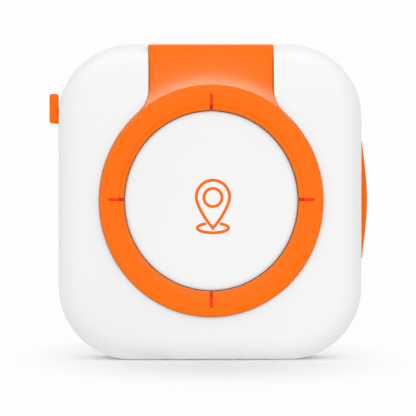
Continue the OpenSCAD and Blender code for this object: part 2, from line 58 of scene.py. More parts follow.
UPRIGHT = Matrix(((MM, 0, 0, 0), (0, 0, -MM, 0), (0, MM, 0, 0), (0, 0, 0, 1)))
# Points that lie nearer than this are one point
WELD = 1e-4
# How far a cutter reaches past the face that it cuts
OVERRUN = 0.5
# Most sides of a leak that is closed in a finished mesh
LEAK_SIDES = 6
# The least angle of an edge that stays sharp, in degrees
SHARP_OVER = 32.0

Piece = bpy.types.Object
Socket = bpy.types.NodeSocket
Point = tuple[float, float]
Place = tuple[float, float, float]
Colour = tuple[float, float, float]
Tint = Union[Colour, Socket]
Value = Union[float, int, bool, str, tuple, Socket, bpy.types.ID, None]


class Join(Enum):
    """How one solid is worked into another."""

    ADD = "UNION"
    CUT = "DIFFERENCE"
    KEEP = "INTERSECT"


def arc(cx: float, cy: float, radius: float, start: float, end: float, steps: int) -> list[Point]:
    """Points of an arc.

    Args:
        cx, cy: Centre of the arc.
        radius: Its radius.
        start, end: Its two angles, in degrees.
        steps: How many chords it has.

    Returns:
        One more point than there are chords.
    """
    angles = [math.radians(start + (end - start) * i / steps) for i in range(steps + 1)]
    return [(cx + radius * math.cos(a), cy + radius * math.sin(a)) for a in angles]


def softened(corners: Sequence[tuple[float, float, float]], steps: int = 5) -> list[Point]:
    """Outline with each corner rounded by its own radius.

    Args:
        corners: X, Y and radius of each corner, in order round a closed outline.
        steps: How many chords each rounding has.

    Returns:
        The points of the closed outline.
    """
    made: list[Point] = []
    count = len(corners)
    for i, (x, y, radius) in enumerate(corners):
        here = np.array((x, y))
        before = np.array(corners[i - 1][:2]) - here
        after = np.array(corners[(i + 1) % count][:2]) - here
        before /= np.linalg.norm(before)
        after /= np.linalg.norm(after)
        if radius <= 0:
            made.append((x, y))
            continue
        half = math.acos(float(np.clip(before @ after, -1, 1))) / 2
        centre = here + (before + after) / np.linalg.norm(before + after) * radius / math.sin(half)
        reach = radius / math.tan(half)
        first, last = here + before * reach - centre, here + after * reach - centre
        turn = math.acos(float(np.clip(first @ last / radius**2, -1, 1)))
        for k in range(steps + 1):
            share = k / steps
            blend = (math.sin((1 - share) * turn) * first + math.sin(share * turn) * last)
            made.append(tuple(centre + blend / math.sin(turn)))
    return made


@dataclass(frozen=True)
class RoundedRectangle:
    """Rounded rectangle whose loops can be drawn at any distance from its corner centres."""

    width: float
    height: float
    corner: float
    corner_steps: int = 24
    side_steps: int = 14

    def loop(self, reach: Optional[float] = None, depth: float = 0.0) -> np.ndarray:
        """One loop of points.

        Args:
            reach: Distance from the corner centres; the corner radius where it is left out.
            depth: Z of the loop.

        Returns:
            An array of points, anticlockwise from the right side.
        """
        reach = self.corner if reach is None else reach
        cx, cy = self.width / 2 - self.corner, self.height / 2 - self.corner
        points = []
        for quarter, (sx, sy) in enumerate(((1, 1), (-1, 1), (-1, -1), (1, -1))):
            points += arc(sx * cx, sy * cy, reach, 90 * quarter, 90 * quarter + 90, self.corner_steps)
            ahead = Vector((-sx * cx if sx * sy > 0 else sx * cx, sy * cy if sx * sy > 0 else -sy * cy))
            here, end = Vector(points[-1]), ahead + Vector(points[-1]) - Vector((sx * cx, sy * cy))
            points += [tuple(here.lerp(end, k / self.side_steps)) for k in range(1, self.side_steps)]
        return np.array([(x, y, depth) for x, y in points])


def solid(name: str, points: Iterable[Sequence[float]], faces: Iterable[Sequence[int]]) -> Piece:
    """Closed mesh object with its doubles merged and its faces turned outwards.

    Args:
        name: Name of the object.
        points: Its points.
        faces: Its faces, as indices of the points.

    Returns:
        The object, linked to the scene.
    """
    mesh = bpy.data.meshes.new(name)
    mesh.from_pydata([tuple(map(float, p)) for p in points], [], [tuple(f) for f in faces])
    work = bmesh.new()
    work.from_mesh(mesh)
    bmesh.ops.remove_doubles(work, verts=work.verts, dist=WELD)
    bmesh.ops.dissolve_degenerate(work, edges=work.edges, dist=WELD)
    bmesh.ops.recalc_face_normals(work, faces=work.faces)
    work.to_mesh(mesh)
    work.free()
    made = bpy.data.objects.new(name, mesh)
    bpy.context.scene.collection.objects.link(made)
    return made


def loft(name: str, loops: Sequence[np.ndarray]) -> Piece:
    """Solid through closed loops of equal length, with flat ends.

    Args:
        name: Name of the object.
        loops: The loops, in order.

    Returns:
        The solid.
    """
    count = len(loops[0])
    faces = [tuple(range(count)), tuple(range((len(loops) - 1) * count, len(loops) * count))]
    for row in range(len(loops) - 1):
        low, high = row * count, (row + 1) * count
        faces += [(low + i, low + (i + 1) % count, high + (i + 1) % count, high + i) for i in range(count)]
    return solid(name, np.vstack(loops), faces)


def prism(name: str, outline: Sequence[Point], low: float, high: float) -> Piece:
    """Solid with a flat outline, from one depth to another.

    Args:
        name: Name of the object.
        outline: Its closed outline.
        low, high: The depths of its two ends.

    Returns:
        The solid.
    """
    flat = np.array(outline)
    return loft(name, [np.column_stack((flat, np.full(len(flat), z))) for z in (low, high)])


def block(name: str, low: Sequence[float], high: Sequence[float]) -> Piece:
    """Plain box between two corners, for cutting and for hidden pads."""
    outline = [(low[0], low[1]), (high[0], low[1]), (high[0], high[1]), (low[0], high[1])]
    return prism(name, outline, low[2], high[2])


def plate(name: str, size: RoundedRectangle, up: float, low: float, high: float) -> Piece:
    """Flat plate with round corners.

    Args:
        name: Name of the object.
        size: Its outline.
        up: Height of its middle.
        low, high: The depths of its two faces.

    Returns:
        The solid.
    """
    return loft(name, [size.loop(depth=z) + (0, up, 0) for z in (low, high)])


def freeze(piece: Piece) -> Piece:
    """Turns a piece with modifiers into a plain mesh.

    Args:
        piece: The piece.

    Returns:
        The same object, without modifiers.
    """
    graph = bpy.context.evaluated_depsgraph_get()
    mesh = bpy.data.meshes.new_from_object(piece.evaluated_get(graph), depsgraph=graph)
    piece.modifiers.clear()
    piece.data = mesh
    return piece


def worked(piece: Piece, how: Join, *tools: Piece) -> Piece:
    """Joins solids to a piece, or cuts them out of it, and removes them.

    Args:
        piece: The piece that is worked on.
        how: Whether the tools are added, cut away or kept.
        tools: The other solids.

    Returns:
        The same piece.
    """
    for tool in tools:
        change = piece.modifiers.new(how.name, "BOOLEAN")
        change.operation = how.value
        change.solver = "EXACT"
        change.object = tool
    freeze(piece)
    for tool in tools:
        bpy.data.objects.remove(tool)
    return piece


def eased(piece: Piece, width: float, steps: int = 3, over: float = 50.0) -> Piece:
    """Rounds the sharp edges of a piece.

    Args:
        piece: The piece.
        width: Width of the rounding.
        steps: How many faces it has.
        over: The least angle of an edge that is rounded, in degrees.

    Returns:
        The same piece.
    """
    change = piece.modifiers.new("ease", "BEVEL")
    change.width = width
    change.segments = steps
    change.limit_method = "ANGLE"
    change.angle_limit = math.radians(over)
    change.use_clamp_overlap = False
    return freeze(piece)


class NodeKit:
    """Adds nodes to one tree and links them."""

    def __init__(self, tree: bpy.types.NodeTree) -> None:
        """Keeps the tree that the nodes go into."""
        self.tree = tree

    def feed(self, socket: Socket, value: Value) -> None:
        """Links an output to a socket, or sets the socket's own value."""
        if isinstance(value, Socket):
            self.tree.links.new(value, socket)
        else:
            socket.default_value = value

    def node(self, kind: str, inputs: Optional[dict] = None, **settings: Value) -> bpy.types.Node:
        """Adds one node.

        Args:
            kind: Blender's name for its type.
            inputs: Values or outputs for its sockets, by name or number.
            settings: Its own settings.

        Returns:
            The node.
        """
        made = self.tree.nodes.new(kind)
        for key, value in settings.items():
            setattr(made, key, value)
        for key, value in (inputs or {}).items():
            self.feed(made.inputs[key], value)
        return made

    def sum(self, operation: str, *values: Value) -> Socket:
        """Output of a Math node."""
        return self.node("ShaderNodeMath", dict(enumerate(values)), operation=operation).outputs[0]

    def place(self) -> Socket:
        """Object coordinates, for a shader tree."""
        return self.node("ShaderNodeTexCoord").outputs["Object"]

    def socket(self, name: str, kind: str, value: Value = None, out: bool = False) -> None:
        """Adds a named socket to the tree's interface.

        Args:
            name: Name of the socket.
            kind: Its type, without the NodeSocket in front.
            value: Its value where nothing else is given.
            out: True for an output.
        """
        side = "OUTPUT" if out else "INPUT"
        made = self.tree.interface.new_socket(name=name, in_out=side, socket_type="NodeSocket" + kind)
        if value is not None:
            made.default_value = value


class FormTree:
    """Base of the Geometry Nodes trees: it builds a tree once and runs it on a mesh."""

    label = "form"
    inputs: dict[str, tuple[str, Value]] = {}

    def __init__(self) -> None:
        """Builds the tree, from its named inputs to the dressed mesh."""
        self.tree = bpy.data.node_groups.new(self.label, "GeometryNodeTree")
        self.kit = NodeKit(self.tree)
        self.kit.socket("Geometry", "Geometry")
        for name, (kind, value) in self.inputs.items():
            self.kit.socket(name, kind, value)
        self.kit.socket("Finish", "Material")
        self.kit.socket("Geometry", "Geometry", out=True)
        self.given = self.kit.node("NodeGroupInput").outputs
        form = self.form()
        plain = self.kit.node("GeometryNodeRealizeInstances", {"Geometry": form})
        dressed = self.kit.node(
            "GeometryNodeSetMaterial", {"Geometry": plain.outputs[0], "Material": self.given["Finish"]})
        self.kit.node("NodeGroupOutput", {"Geometry": dressed.outputs[0]})

    def form(self) -> Socket:
        """Nodes between the inputs and Realize Instances. Each tree has its own."""
        raise NotImplementedError

    def rows(self, length: Value) -> tuple[Socket, Socket]:
        """Row that each point is in and its place in the row, in rows of one length."""
        kit = self.kit
        index = kit.node("GeometryNodeInputIndex").outputs[0]
        row = kit.sum("FLOOR", kit.sum("DIVIDE", kit.sum("ADD", index, 0.5), length))
        return row, kit.sum("SUBTRACT", index, kit.sum("MULTIPLY", row, length))

    def centred(self, across: Value, rise: Value, depth: Value = 0.0) -> Socket:
        """Place that is given from the form's centre."""
        kit = self.kit
        spot = kit.node("ShaderNodeCombineXYZ", {"X": across, "Y": rise, "Z": depth}).outputs[0]
        moved = kit.node("ShaderNodeVectorMath", {0: spot, 1: self.given["Centre"]}, operation="ADD")
        return moved.outputs[0]

    def on_oval(self, radius: Value, angle: Socket, depth: Value = 0.0) -> Socket:
        """Place on an upright oval round the form's centre.

        Args:
            radius: The oval's radius across.
            angle: Where on the oval it is.
            depth: How far in front of the centre it is.

        Returns:
            The place.
        """
        kit = self.kit
        across = kit.sum("MULTIPLY", radius, kit.sum("COSINE", angle))
        rise = kit.sum("MULTIPLY", radius, kit.sum("SINE", angle))
        return self.centred(across, kit.sum("MULTIPLY", rise, self.given["Tall Share"]), depth)

    def copies(self, count: Value, place: Socket, turn: Optional[Socket] = None) -> Socket:
        """Copies of the mesh that goes in.

        Args:
            count: How many there are.
            place: Where each stands, by its number.
            turn: How each is turned; not at all where it is left out.

        Returns:
            The instances.
        """
        kit = self.kit
        points = kit.node("GeometryNodePoints", {"Count": count}).outputs[0]
        laid = kit.node("GeometryNodeSetPosition", {"Geometry": points, "Position": place}).outputs[0]
        made = kit.node("GeometryNodeInstanceOnPoints", {"Points": laid, "Instance": self.given["Geometry"]})
        if turn is not None:
            kit.feed(made.inputs["Rotation"], turn)
        return made.outputs[0]

    def run(self, piece: Piece, **values: Value) -> Piece:
        """Runs the tree on a mesh and makes the result plain.

        Args:
            piece: The mesh that goes in.
            values: The tree's named inputs, with an underscore for each space.

        Returns:
            The same object with its new mesh.
        """
        change = piece.modifiers.new(self.label, "NODES")
        change.node_group = self.tree
        sockets = [s for s in self.tree.interface.items_tree if getattr(s, "in_out", "") == "INPUT"]
        places = {s.name.replace(" ", "_").lower(): s.identifier for s in sockets}
        for name, value in values.items():
            change[places[name]] = value
        return freeze(piece)


class TurnedForm(FormTree):
    """Turns a section round the depth axis and stretches it upwards.

    The mesh that goes in is the section: its points in order, with the radius in X and the depth in Z.
    """

    label = "turned_form"
    inputs = {"Around": ("Int", 96), "Tall Share": ("Float", 1.0), "Centre": ("Vector", (0, 0, 0))}

    def form(self) -> Socket:
        """A grid with one row for each step round the axis, bent into shape.

        Returns:
            The closed mesh.
        """
        kit, given = self.kit, self.given
        points = kit.node("GeometryNodeAttributeDomainSize", {0: given["Geometry"]}).outputs["Point Count"]
        turns = kit.sum("ADD", given["Around"], 1)
        grid = kit.node("GeometryNodeMeshGrid", {"Vertices X": turns, "Vertices Y": points})
        row, place = self.rows(points)
        here = kit.node("GeometryNodeInputPosition").outputs[0]
        sampled = kit.node("GeometryNodeSampleIndex", data_type="FLOAT_VECTOR", domain="POINT")
        kit.feed(sampled.inputs["Geometry"], given["Geometry"])
        kit.feed(sampled.inputs["Value"], here)
        kit.feed(sampled.inputs["Index"], place)
        parts = kit.node("ShaderNodeSeparateXYZ", {0: sampled.outputs[0]}).outputs
        angle = kit.sum("MULTIPLY", kit.sum("DIVIDE", row, given["Around"]), math.tau)
        bent = self.on_oval(parts["X"], angle, parts["Z"])
        turned = kit.node("GeometryNodeSetPosition", {"Geometry": grid.outputs["Mesh"], "Position": bent})
        closed = kit.node("GeometryNodeMergeByDistance", {"Geometry": turned.outputs[0], "Distance": WELD})
        return closed.outputs[0]


class GridRepeat(FormTree):
    """Sets copies of a mesh on a grid of columns and rows."""

    label = "grid_repeat"
    inputs = {"Columns": ("Int", 2), "Rows": ("Int", 2), "Column Pitch": ("Float", 1.0),
              "Row Pitch": ("Float", 1.0), "Centre": ("Vector", (0, 0, 0))}

    def form(self) -> Socket:
        """The copies, on the points of a grid.

        Returns:
            The instances.
        """
        kit, given = self.kit, self.given
        row, column = self.rows(given["Columns"])
        places = []
        for step, name in ((column, "Column"), (row, "Row")):
            middle = kit.sum("MULTIPLY", kit.sum("SUBTRACT", given[name + "s"], 1), 0.5)
            places.append(kit.sum("MULTIPLY", kit.sum("SUBTRACT", step, middle), given[name + " Pitch"]))
        count = kit.sum("MULTIPLY", given["Columns"], given["Rows"])
        return self.copies(count, self.centred(*places))


class RingRepeat(FormTree):
    """Sets copies of a mesh round an axis, each turned to face outwards."""

    label = "ring_repeat"
    inputs = {"Count": ("Int", 4), "Start": ("Float", 0.0), "Tall Share": ("Float", 1.0),
              "Centre": ("Vector", (0, 0, 0)), "Radius": ("Float", 1.0)}

    def form(self) -> Socket:
        """The copies, on the points of an upright oval.

        Returns:
            The instances.
        """
        kit, given = self.kit, self.given
        index = kit.node("GeometryNodeInputIndex").outputs[0]
        share = kit.sum("DIVIDE", index, given["Count"])
        angle = kit.sum("ADD", given["Start"], kit.sum("MULTIPLY", share, math.tau))
        facing = kit.node("ShaderNodeCombineXYZ", {"Z": angle}).outputs[0]
        turn = kit.node("FunctionNodeEulerToRotation", {0: facing}).outputs[0]
        return self.copies(given["Count"], self.on_oval(given["Radius"], angle), turn)


@dataclass
class Workshop:
    """The Geometry Nodes trees, built once for all pieces."""

    lathe: TurnedForm
    grid: GridRepeat
    ring: RingRepeat

    def turned(self, name: str, section: Sequence[Point], up: float = 0.0, tall: float = 1.0,
               around: int = 96) -> Piece:
        """Solid turned round a front-facing axis.

        Args:
            name: Name of the object.
            section: Radius and depth of each point; its outer side runs towards the front.
            up: Height of the axis.
            tall: Height of the solid as a share of its width.
            around: Steps round the axis.

        Returns:
            The closed solid.
        """
        mesh = bpy.data.meshes.new(name)
        mesh.from_pydata([(r, 0.0, z) for r, z in section], [], [])
        made = bpy.data.objects.new(name, mesh)
        bpy.context.scene.collection.objects.link(made)
        return self.lathe.run(made, around=around, tall_share=tall, centre=(0.0, up, 0.0))

    def rod(self, name: str, radius: float, low: float, high: float, up: float = 0.0,
            tall: float = 1.0, around: int = 48) -> Piece:
        """Round rod between two depths.

        Args:
            name: Name of the object.
            radius: Its radius.
            low, high: The depths of its two ends.
            up: Height of its axis.
            tall: Height as a share of width.
            around: Steps round the axis.

        Returns:
            The closed rod.
        """
        section = [(0, low), (radius, low), (radius, high), (0, high)]
        return self.turned(name, section, up, tall, around)


@dataclass(frozen=True)
class CaseSizes:
    """Outside of the case, and the planes and outlines that its pieces share."""

    width: float = 42.9
    height: float = 44.6
    depth: float = 18.0
    corner: float = 10.3
    front_round: float = 4.0
    rear_round: float = 3.0
    swell: float = 0.6
    wall: float = 1.8
    seam: float = -2.0
    groove: float = 0.15
    gap: float = 0.05
    ring_up: float = 22.55
    tall: float = 1.036
    ring_reach: float = 15.8
    bore_reach: float = 12.31
    ring_face: float = 9.7
    ring_seat: float = 7.9
    bevel_depth: float = 0.5
    lip: float = 8.1
    flange_reach: float = 13.2
    cap_gap: float = 0.1
    drum_back: float = 5.6
    pocket: float = 6.8
    ceiling: float = 6.132
    board_front: float = 0.3
    board_back: float = -0.7
    screw_across: float = 12.35
    screw_low: float = 5.0
    screw_pitch: float = 34.6
    key_middle: float = 1.5
    key_depth: float = 4.0
    key_seat: float = 18.75
    power_up: float = 35.5
    power_length: float = 4.2
    power_over: float = 2.4
    power_sink: float = 0.1
    key_travel: float = 0.4
    side_length: float = 16.6
    guide_ring: float = 9.5
    guide_start: float = 30.0
    stake_ring: float = 14.6
    stake_start: float = 45.0
    contact_up: float = 15.9
    contact_pitch: float = 3.4
    contact_sunk: float = 0.4

    @property
    def front(self) -> float:
        """Depth of the middle of the front face."""
        return self.depth / 2

    @property
    def before(self) -> float:
        """Depth in front of the whole case, where the cutters end."""
        return self.ring_face + 2 * OVERRUN

    @property
    def inner_rear(self) -> float:
        """Depth of the inner side of the rear wall."""
        return self.wall - self.depth / 2

    def outline(self, inset: float = 0.0) -> RoundedRectangle:
        """Outline of the case seen from the front, smaller by an inset."""
        return RoundedRectangle(self.width - 2 * inset, self.height - 2 * inset, self.corner - inset)


@dataclass(frozen=True)
class StrapSizes:
    """The strap over the top of the case and the neck that widens into the ring."""

    case: CaseSizes
    width: float = 17.6
    thick: float = 0.9
    drop: float = 14.0
    sink: float = 2.0
    ramp_lip: float = 0.004
    fillet: float = 4.4
    edge: float = 0.22
    end_corner: float = 3.0
    under_ring: float = 1.0
    bed_start: float = 11.0
    columns: int = 32
    neck_rows: int = 22
    edge_steps: int = 6
    top_rows: int = 12
    round_steps: int = 10
    back_rows: int = 8
    bed_rows: int = 40
    start_rounds: int = 12

    @property
    def front(self) -> float:
        """Depth of the strap's front where it leaves the ramp."""
        return self.case.ring_face - self.sink

    @property
    def bed(self) -> float:
        """Depth of the floor that the neck lies on."""
        return self.front - self.thick

    def half_width(self, rise: float, gap: float = 0.0) -> float:
        """Half the width of the neck at one height.

        Args:
            rise: Height over the ring's axis.
            gap: How far the outline is grown.

        Returns:
            Half the width, wider where the fillet runs into the ring.
        """
        half, radius = self.width / 2 + gap, self.fillet - gap
        middle = half + radius
        up = math.sqrt((self.case.ring_reach + self.fillet) ** 2 - middle**2)
        touch = up * self.case.ring_reach / (self.case.ring_reach + self.fillet)
        level = max(rise / self.case.tall, touch)
        return half if level >= up else middle - math.sqrt(radius**2 - (up - level) ** 2)

    def ramp(self, across: float, rise: float) -> float:
        """Depth of the hollow ramp between the ring and the strap.

        Args:
            across, rise: Place seen from the front, from the ring's axis.

        Returns:
            The depth of the surface there.
        """
        run = (self.case.height - self.case.ring_up) / self.case.tall - self.case.ring_reach
        drop = self.sink - self.ramp_lip
        hollow = (run**2 + drop**2) / (2 * drop)
        out = math.hypot(across, rise / self.case.tall) - self.case.ring_reach
        left = min(max(run - out, 0.0), run)
        return self.front + hollow - math.sqrt(hollow**2 - left**2)

    def side_view(self, lift: float) -> list[tuple[Point, Point, float]]:
        """Path of the strap over the top and down the back.

        Args:
            lift: How far its outer side is moved outwards.

        Returns:
            For each station its outer point, its inner point and half its width.
        """
        case, top, half, made = self.case, self.case.height, self.width / 2, []
        inner_corner = (self.bed, top - self.thick)
        bend = arc(self.front - self.edge, top - self.edge, self.edge + lift, 0, 90, self.edge_steps)
        made += [(point, inner_corner, half) for point in bend[1:]]
        rear, rear_top = case.rear_round - case.front, top - case.rear_round
        for k in range(1, self.top_rows):
            z = self.front - self.edge + (rear - self.front + self.edge) * k / self.top_rows
            made.append(((z, top + lift), (min(z, self.bed), top - self.thick), half))
        outer = arc(rear, rear_top, case.rear_round + lift, 90, 180, self.round_steps)
        inner = arc(rear, rear_top, case.rear_round - self.thick, 90, 180, self.round_steps)
        made += [(a, b, half) for a, b in zip(outer, inner)]
        end = top - self.drop
        straight = rear_top - end - self.end_corner
        levels = [rear_top - straight * k / self.back_rows for k in range(1, self.back_rows + 1)]
        halves = [half] * self.back_rows
        for x, y in arc(0, 0, self.end_corner, 0, 90, self.round_steps)[1:]:
            levels.append(end + self.end_corner - y)
            halves.append(half - self.end_corner + x)
        made += [((-case.front - lift, level), (self.thick - case.front, level), wide)
                 for level, wide in zip(levels, halves)]
        return made

    def form(self, name: str, gap: float = 0.0, lift: float = 0.0) -> Piece:
        """The neck, its ramp and the strap as one closed solid.

        Args:
            name: Name of the object.
            gap: How far its outline is grown, where it is used to cut its own bed.
            lift: How far its outer side is moved outwards there.

        Returns:
            The solid.
        """
        case = self.case
        shares = np.linspace(-1, 1, self.columns + 1)
        top = case.height - self.edge - case.ring_up
        outer, inner = [], []
        for row in range(self.neck_rows + 1):
            over, under = [], []
            reach = case.ring_reach - (0.0 if row else self.under_ring)
            climb = max(row - 1, 0) / (self.neck_rows - 1)
            for share in shares:
                start = case.tall * reach
                for _ in range(self.start_rounds):
                    across = share * self.half_width(start, gap)
                    start = case.tall * math.sqrt(reach**2 - across**2)
                rise = start + (top - start) * climb
                across = share * self.half_width(rise, gap)
                depth = case.before if lift else self.ramp(across, rise)
                low = start + (top + self.edge - self.thick - start) * climb
                over.append((across, case.ring_up + rise, depth))
                under.append((across, case.ring_up + low, self.bed))
            outer.append(over)
            inner.append(under)
        for (z, y), (low_z, low_y), half in self.side_view(lift):
            outer.append([(share * (half + gap), y, z) for share in shares])
            inner.append([(share * (half + gap), low_y, low_z) for share in shares])
        loops = [np.array(over + under[::-1]) for over, under in zip(outer, inner)]
        return loft(name, loops)

    def bed_outline(self, gap: float, top: float) -> list[Point]:
        """Outline of the neck seen from the front, from the ring to a height.

        Args:
            gap: How far it is grown.
            top: Its upper end.

        Returns:
            The closed outline.
        """
        rises = np.linspace(self.case.tall * self.bed_start, top - self.case.ring_up, self.bed_rows)
        right = [(self.half_width(r, gap), self.case.ring_up + r) for r in rises]
        return right + [(-x, y) for x, y in reversed(right)]


class Slot(Enum):
    """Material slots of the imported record."""

    WHITE_SHELL = "white_shell"
    ORANGE_RING = "orange_ring"
    RED_MARK = "red_mark"
    WHITE_CAP = "white_cap"
    ORANGE_KEY = "orange_key"
    CLEAR_SILICONE = "clear_silicone"
    BLACK_PLASTIC = "black_plastic"
    SWITCH_STEEL = "switch_steel"
    GREY_RUBBER = "grey_rubber"
    GREEN_BOARD = "green_board"
    CELL_FOIL = "cell_foil"
    GREY_FOAM = "grey_foam"
    ANTENNA_CERAMIC = "antenna_ceramic"
    SHIELD_STEEL = "shield_steel"
    CARD_PLASTIC = "card_plastic"
    GOLD_CONTACT = "gold_contact"
    ANTENNA_FILM = "antenna_film"
    SCREW_STEEL = "screw_steel"
    BRASS_INSERT = "brass_insert"


def srgb(red: int, green: int, blue: int) -> Colour:
    """Linear colour of three screen values from 0 to 255."""
    shares = [v / 255 for v in (red, green, blue)]
    return tuple(s / 12.92 if s <= 0.04045 else ((s + 0.055) / 1.055) ** 2.4 for s in shares)


class EffectGroup:
    """Base of the shader node groups that the finishes share."""

    label = "effect"
    inputs: dict[str, float] = {}
    outputs: tuple[str, ...] = ()

    def __init__(self) -> None:
        """Builds the group with its named inputs and outputs."""
        self.tree = bpy.data.node_groups.new(self.label, "ShaderNodeTree")
        self.kit = NodeKit(self.tree)
        for name, value in self.inputs.items():
            self.kit.socket(name, "Float", value)
        for name in self.outputs:
            self.kit.socket(name, "Float", out=True)
        self.given = self.kit.node("NodeGroupInput").outputs
        self.place = self.kit.place()
        self.kit.node("NodeGroupOutput", self.results())

    def results(self) -> dict[str, Socket]:
        """The outputs by name. Each group has its own."""
        raise NotImplementedError

    def noise(self, scale: Value, detail: float = 2.0, place: Value = None) -> Socket:
        """Noise from 0 to 1 with about so many features in a metre."""
        made = self.kit.node("ShaderNodeTexNoise", {
            "Vector": self.place if place is None else place, "Scale": scale, "Detail": detail})
        return made.outputs[0]

    def into(self, kit: NodeKit, **values: float) -> dict[str, Socket]:
        """Places the group in a material.

        Args:
            kit: The material's nodes.
            values: Its inputs, with an underscore for each space.

        Returns:
            Its outputs by name.
        """
        made = kit.node("ShaderNodeGroup", node_tree=self.tree)
        for name, value in values.items():
            kit.feed(made.inputs[name.replace("_", " ").title()], value)
        return {s.name: s for s in made.outputs}


class MouldedGrain(EffectGroup):
    """Fine spark-worn grain of a mould, and the slow clouds in a moulded colour."""

    label = "moulded_grain"
    inputs = {"Grain Scale": 7000.0, "Cloud Scale": 60.0}
    outputs = ("Grain", "Cloud", "Flow")

    def results(self) -> dict[str, Socket]:
        """Grain height, cloud mask and the broad flow waves of the moulding."""
        fine = self.noise(self.given["Grain Scale"], 3.0)
        pits = self.kit.node("ShaderNodeTexVoronoi", {
            "Vector": self.place, "Scale": self.kit.sum("MULTIPLY", self.given["Grain Scale"], 0.6)})
        grain = self.kit.sum("ADD", self.kit.sum("MULTIPLY", fine, 0.7),
                             self.kit.sum("MULTIPLY", pits.outputs["Distance"], 0.3))
        cloud = self.noise(self.given["Cloud Scale"], 3.0)
        flow = self.noise(self.kit.sum("MULTIPLY", self.given["Cloud Scale"], 3.5), 1.0)
        return {"Grain": grain, "Cloud": cloud, "Flow": flow}


class HandlingMarks(EffectGroup):
    """Faint hairlines and finger smears that handling leaves."""

    label = "handling_marks"
    inputs = {"Line Scale": 500.0, "Smear Scale": 120.0, "Amount": 1.0}
    outputs = ("Lines", "Smears")

    def results(self) -> dict[str, Socket]:
        """Masks of the hairlines and of the smears."""
        kit = self.kit
        turned = kit.node("ShaderNodeMapping", {
            "Vector": self.place, "Rotation": (0.3, 0.5, 0.2), "Scale": (1.0, 1.0, 0.05)}).outputs[0]
        threads = self.noise(self.given["Line Scale"], 4.0, turned)
        patches = self.noise(self.given["Smear Scale"], 2.0)
        near = kit.sum("ABSOLUTE", kit.sum("SUBTRACT", threads, 0.5))
        lines = kit.node("ShaderNodeMapRange", {
            "Value": near, "From Min": 0.0, "From Max": 0.012, "To Min": 1.0, "To Max": 0.0}).outputs[0]
        spots = kit.node("ShaderNodeMapRange", {
            "Value": patches, "From Min": 0.5, "From Max": 0.75}).outputs[0]
        lines = kit.sum("MULTIPLY", kit.sum("MULTIPLY", lines, spots), self.given["Amount"])
        smears = kit.sum("MULTIPLY", spots, self.given["Amount"])
        return {"Lines": lines, "Smears": smears}


class DrawnLines(EffectGroup):
    """Fine parallel lines of rolled, drawn or turned metal."""

    label = "drawn_lines"
    inputs = {"Scale": 6000.0, "Stretch": 0.03}
    outputs = ("Lines", "Blotch")

    def results(self) -> dict[str, Socket]:
        """The line height and a slow blotch mask."""
        kit = self.kit
        shape = kit.node("ShaderNodeCombineXYZ", {"X": self.given["Stretch"], "Y": 1.0, "Z": 1.0})
        drawn = kit.node("ShaderNodeVectorMath", {0: self.place, 1: shape.outputs[0]}, operation="MULTIPLY")
        lines = self.noise(self.given["Scale"], 2.0, drawn.outputs[0])
        blotch = self.noise(kit.sum("MULTIPLY", self.given["Scale"], 0.02), 3.0)
        return {"Lines": lines, "Blotch": blotch}


@dataclass
class Effects:
    """The shared shader groups, built once."""

    grain: MouldedGrain
    marks: HandlingMarks
    lines: DrawnLines


class Finish:
    """Base of the finishes: a material with one Principled shader that is fed by its own nodes."""

    def build(self, name: str, effects: Effects) -> bpy.types.Material:
        """Builds the material.

        Args:
            name: Name of the material.
            effects: The shared shader groups.

        Returns:
            The material.
        """
        made = bpy.data.materials.new(name)
        made.use_nodes = True
        made.node_tree.nodes.clear()
        kit = NodeKit(made.node_tree)
        shader = kit.node("ShaderNodeBsdfPrincipled")
        kit.node("ShaderNodeOutputMaterial", {"Surface": shader.outputs[0]})
        self.dress(kit, shader.inputs, effects)
        return made

    def dress(self, kit: NodeKit, shader: bpy.types.NodeInputs, effects: Effects) -> None:
        """Feeds the shader. Each finish has its own nodes."""
        raise NotImplementedError


def tinted(kit: NodeKit, mask: Value, low: Tint, high: Tint) -> Socket:
    """Colour between two colours, by a mask from 0 to 1.

    Args:
        kit: The material's nodes.
        mask: The mask.
        low, high: The colours at 0 and at 1.

    Returns:
        The colour.
    """
    mix = kit.node("ShaderNodeMix", data_type="RGBA")
    kit.feed(mix.inputs["Factor"], mask)
    for place, colour in ((6, low), (7, high)):
        kit.feed(mix.inputs[place], (*colour, 1.0) if isinstance(colour, tuple) else colour)
    return mix.outputs[2]


def ranged(kit: NodeKit, mask: Value, low: float, high: float) -> Socket:
    """Number between two numbers, by a mask from 0 to 1."""
    return kit.node("ShaderNodeMapRange", {"Value": mask, "To Min": low, "To Max": high}).outputs[0]


def bumped(kit: NodeKit, height: Value, metres: float, strength: float = 1.0) -> Socket:
    """Normal from a height mask that stands for so many metres."""
    return kit.node("ShaderNodeBump", {
        "Height": height, "Distance": metres, "Strength": strength}).outputs[0]


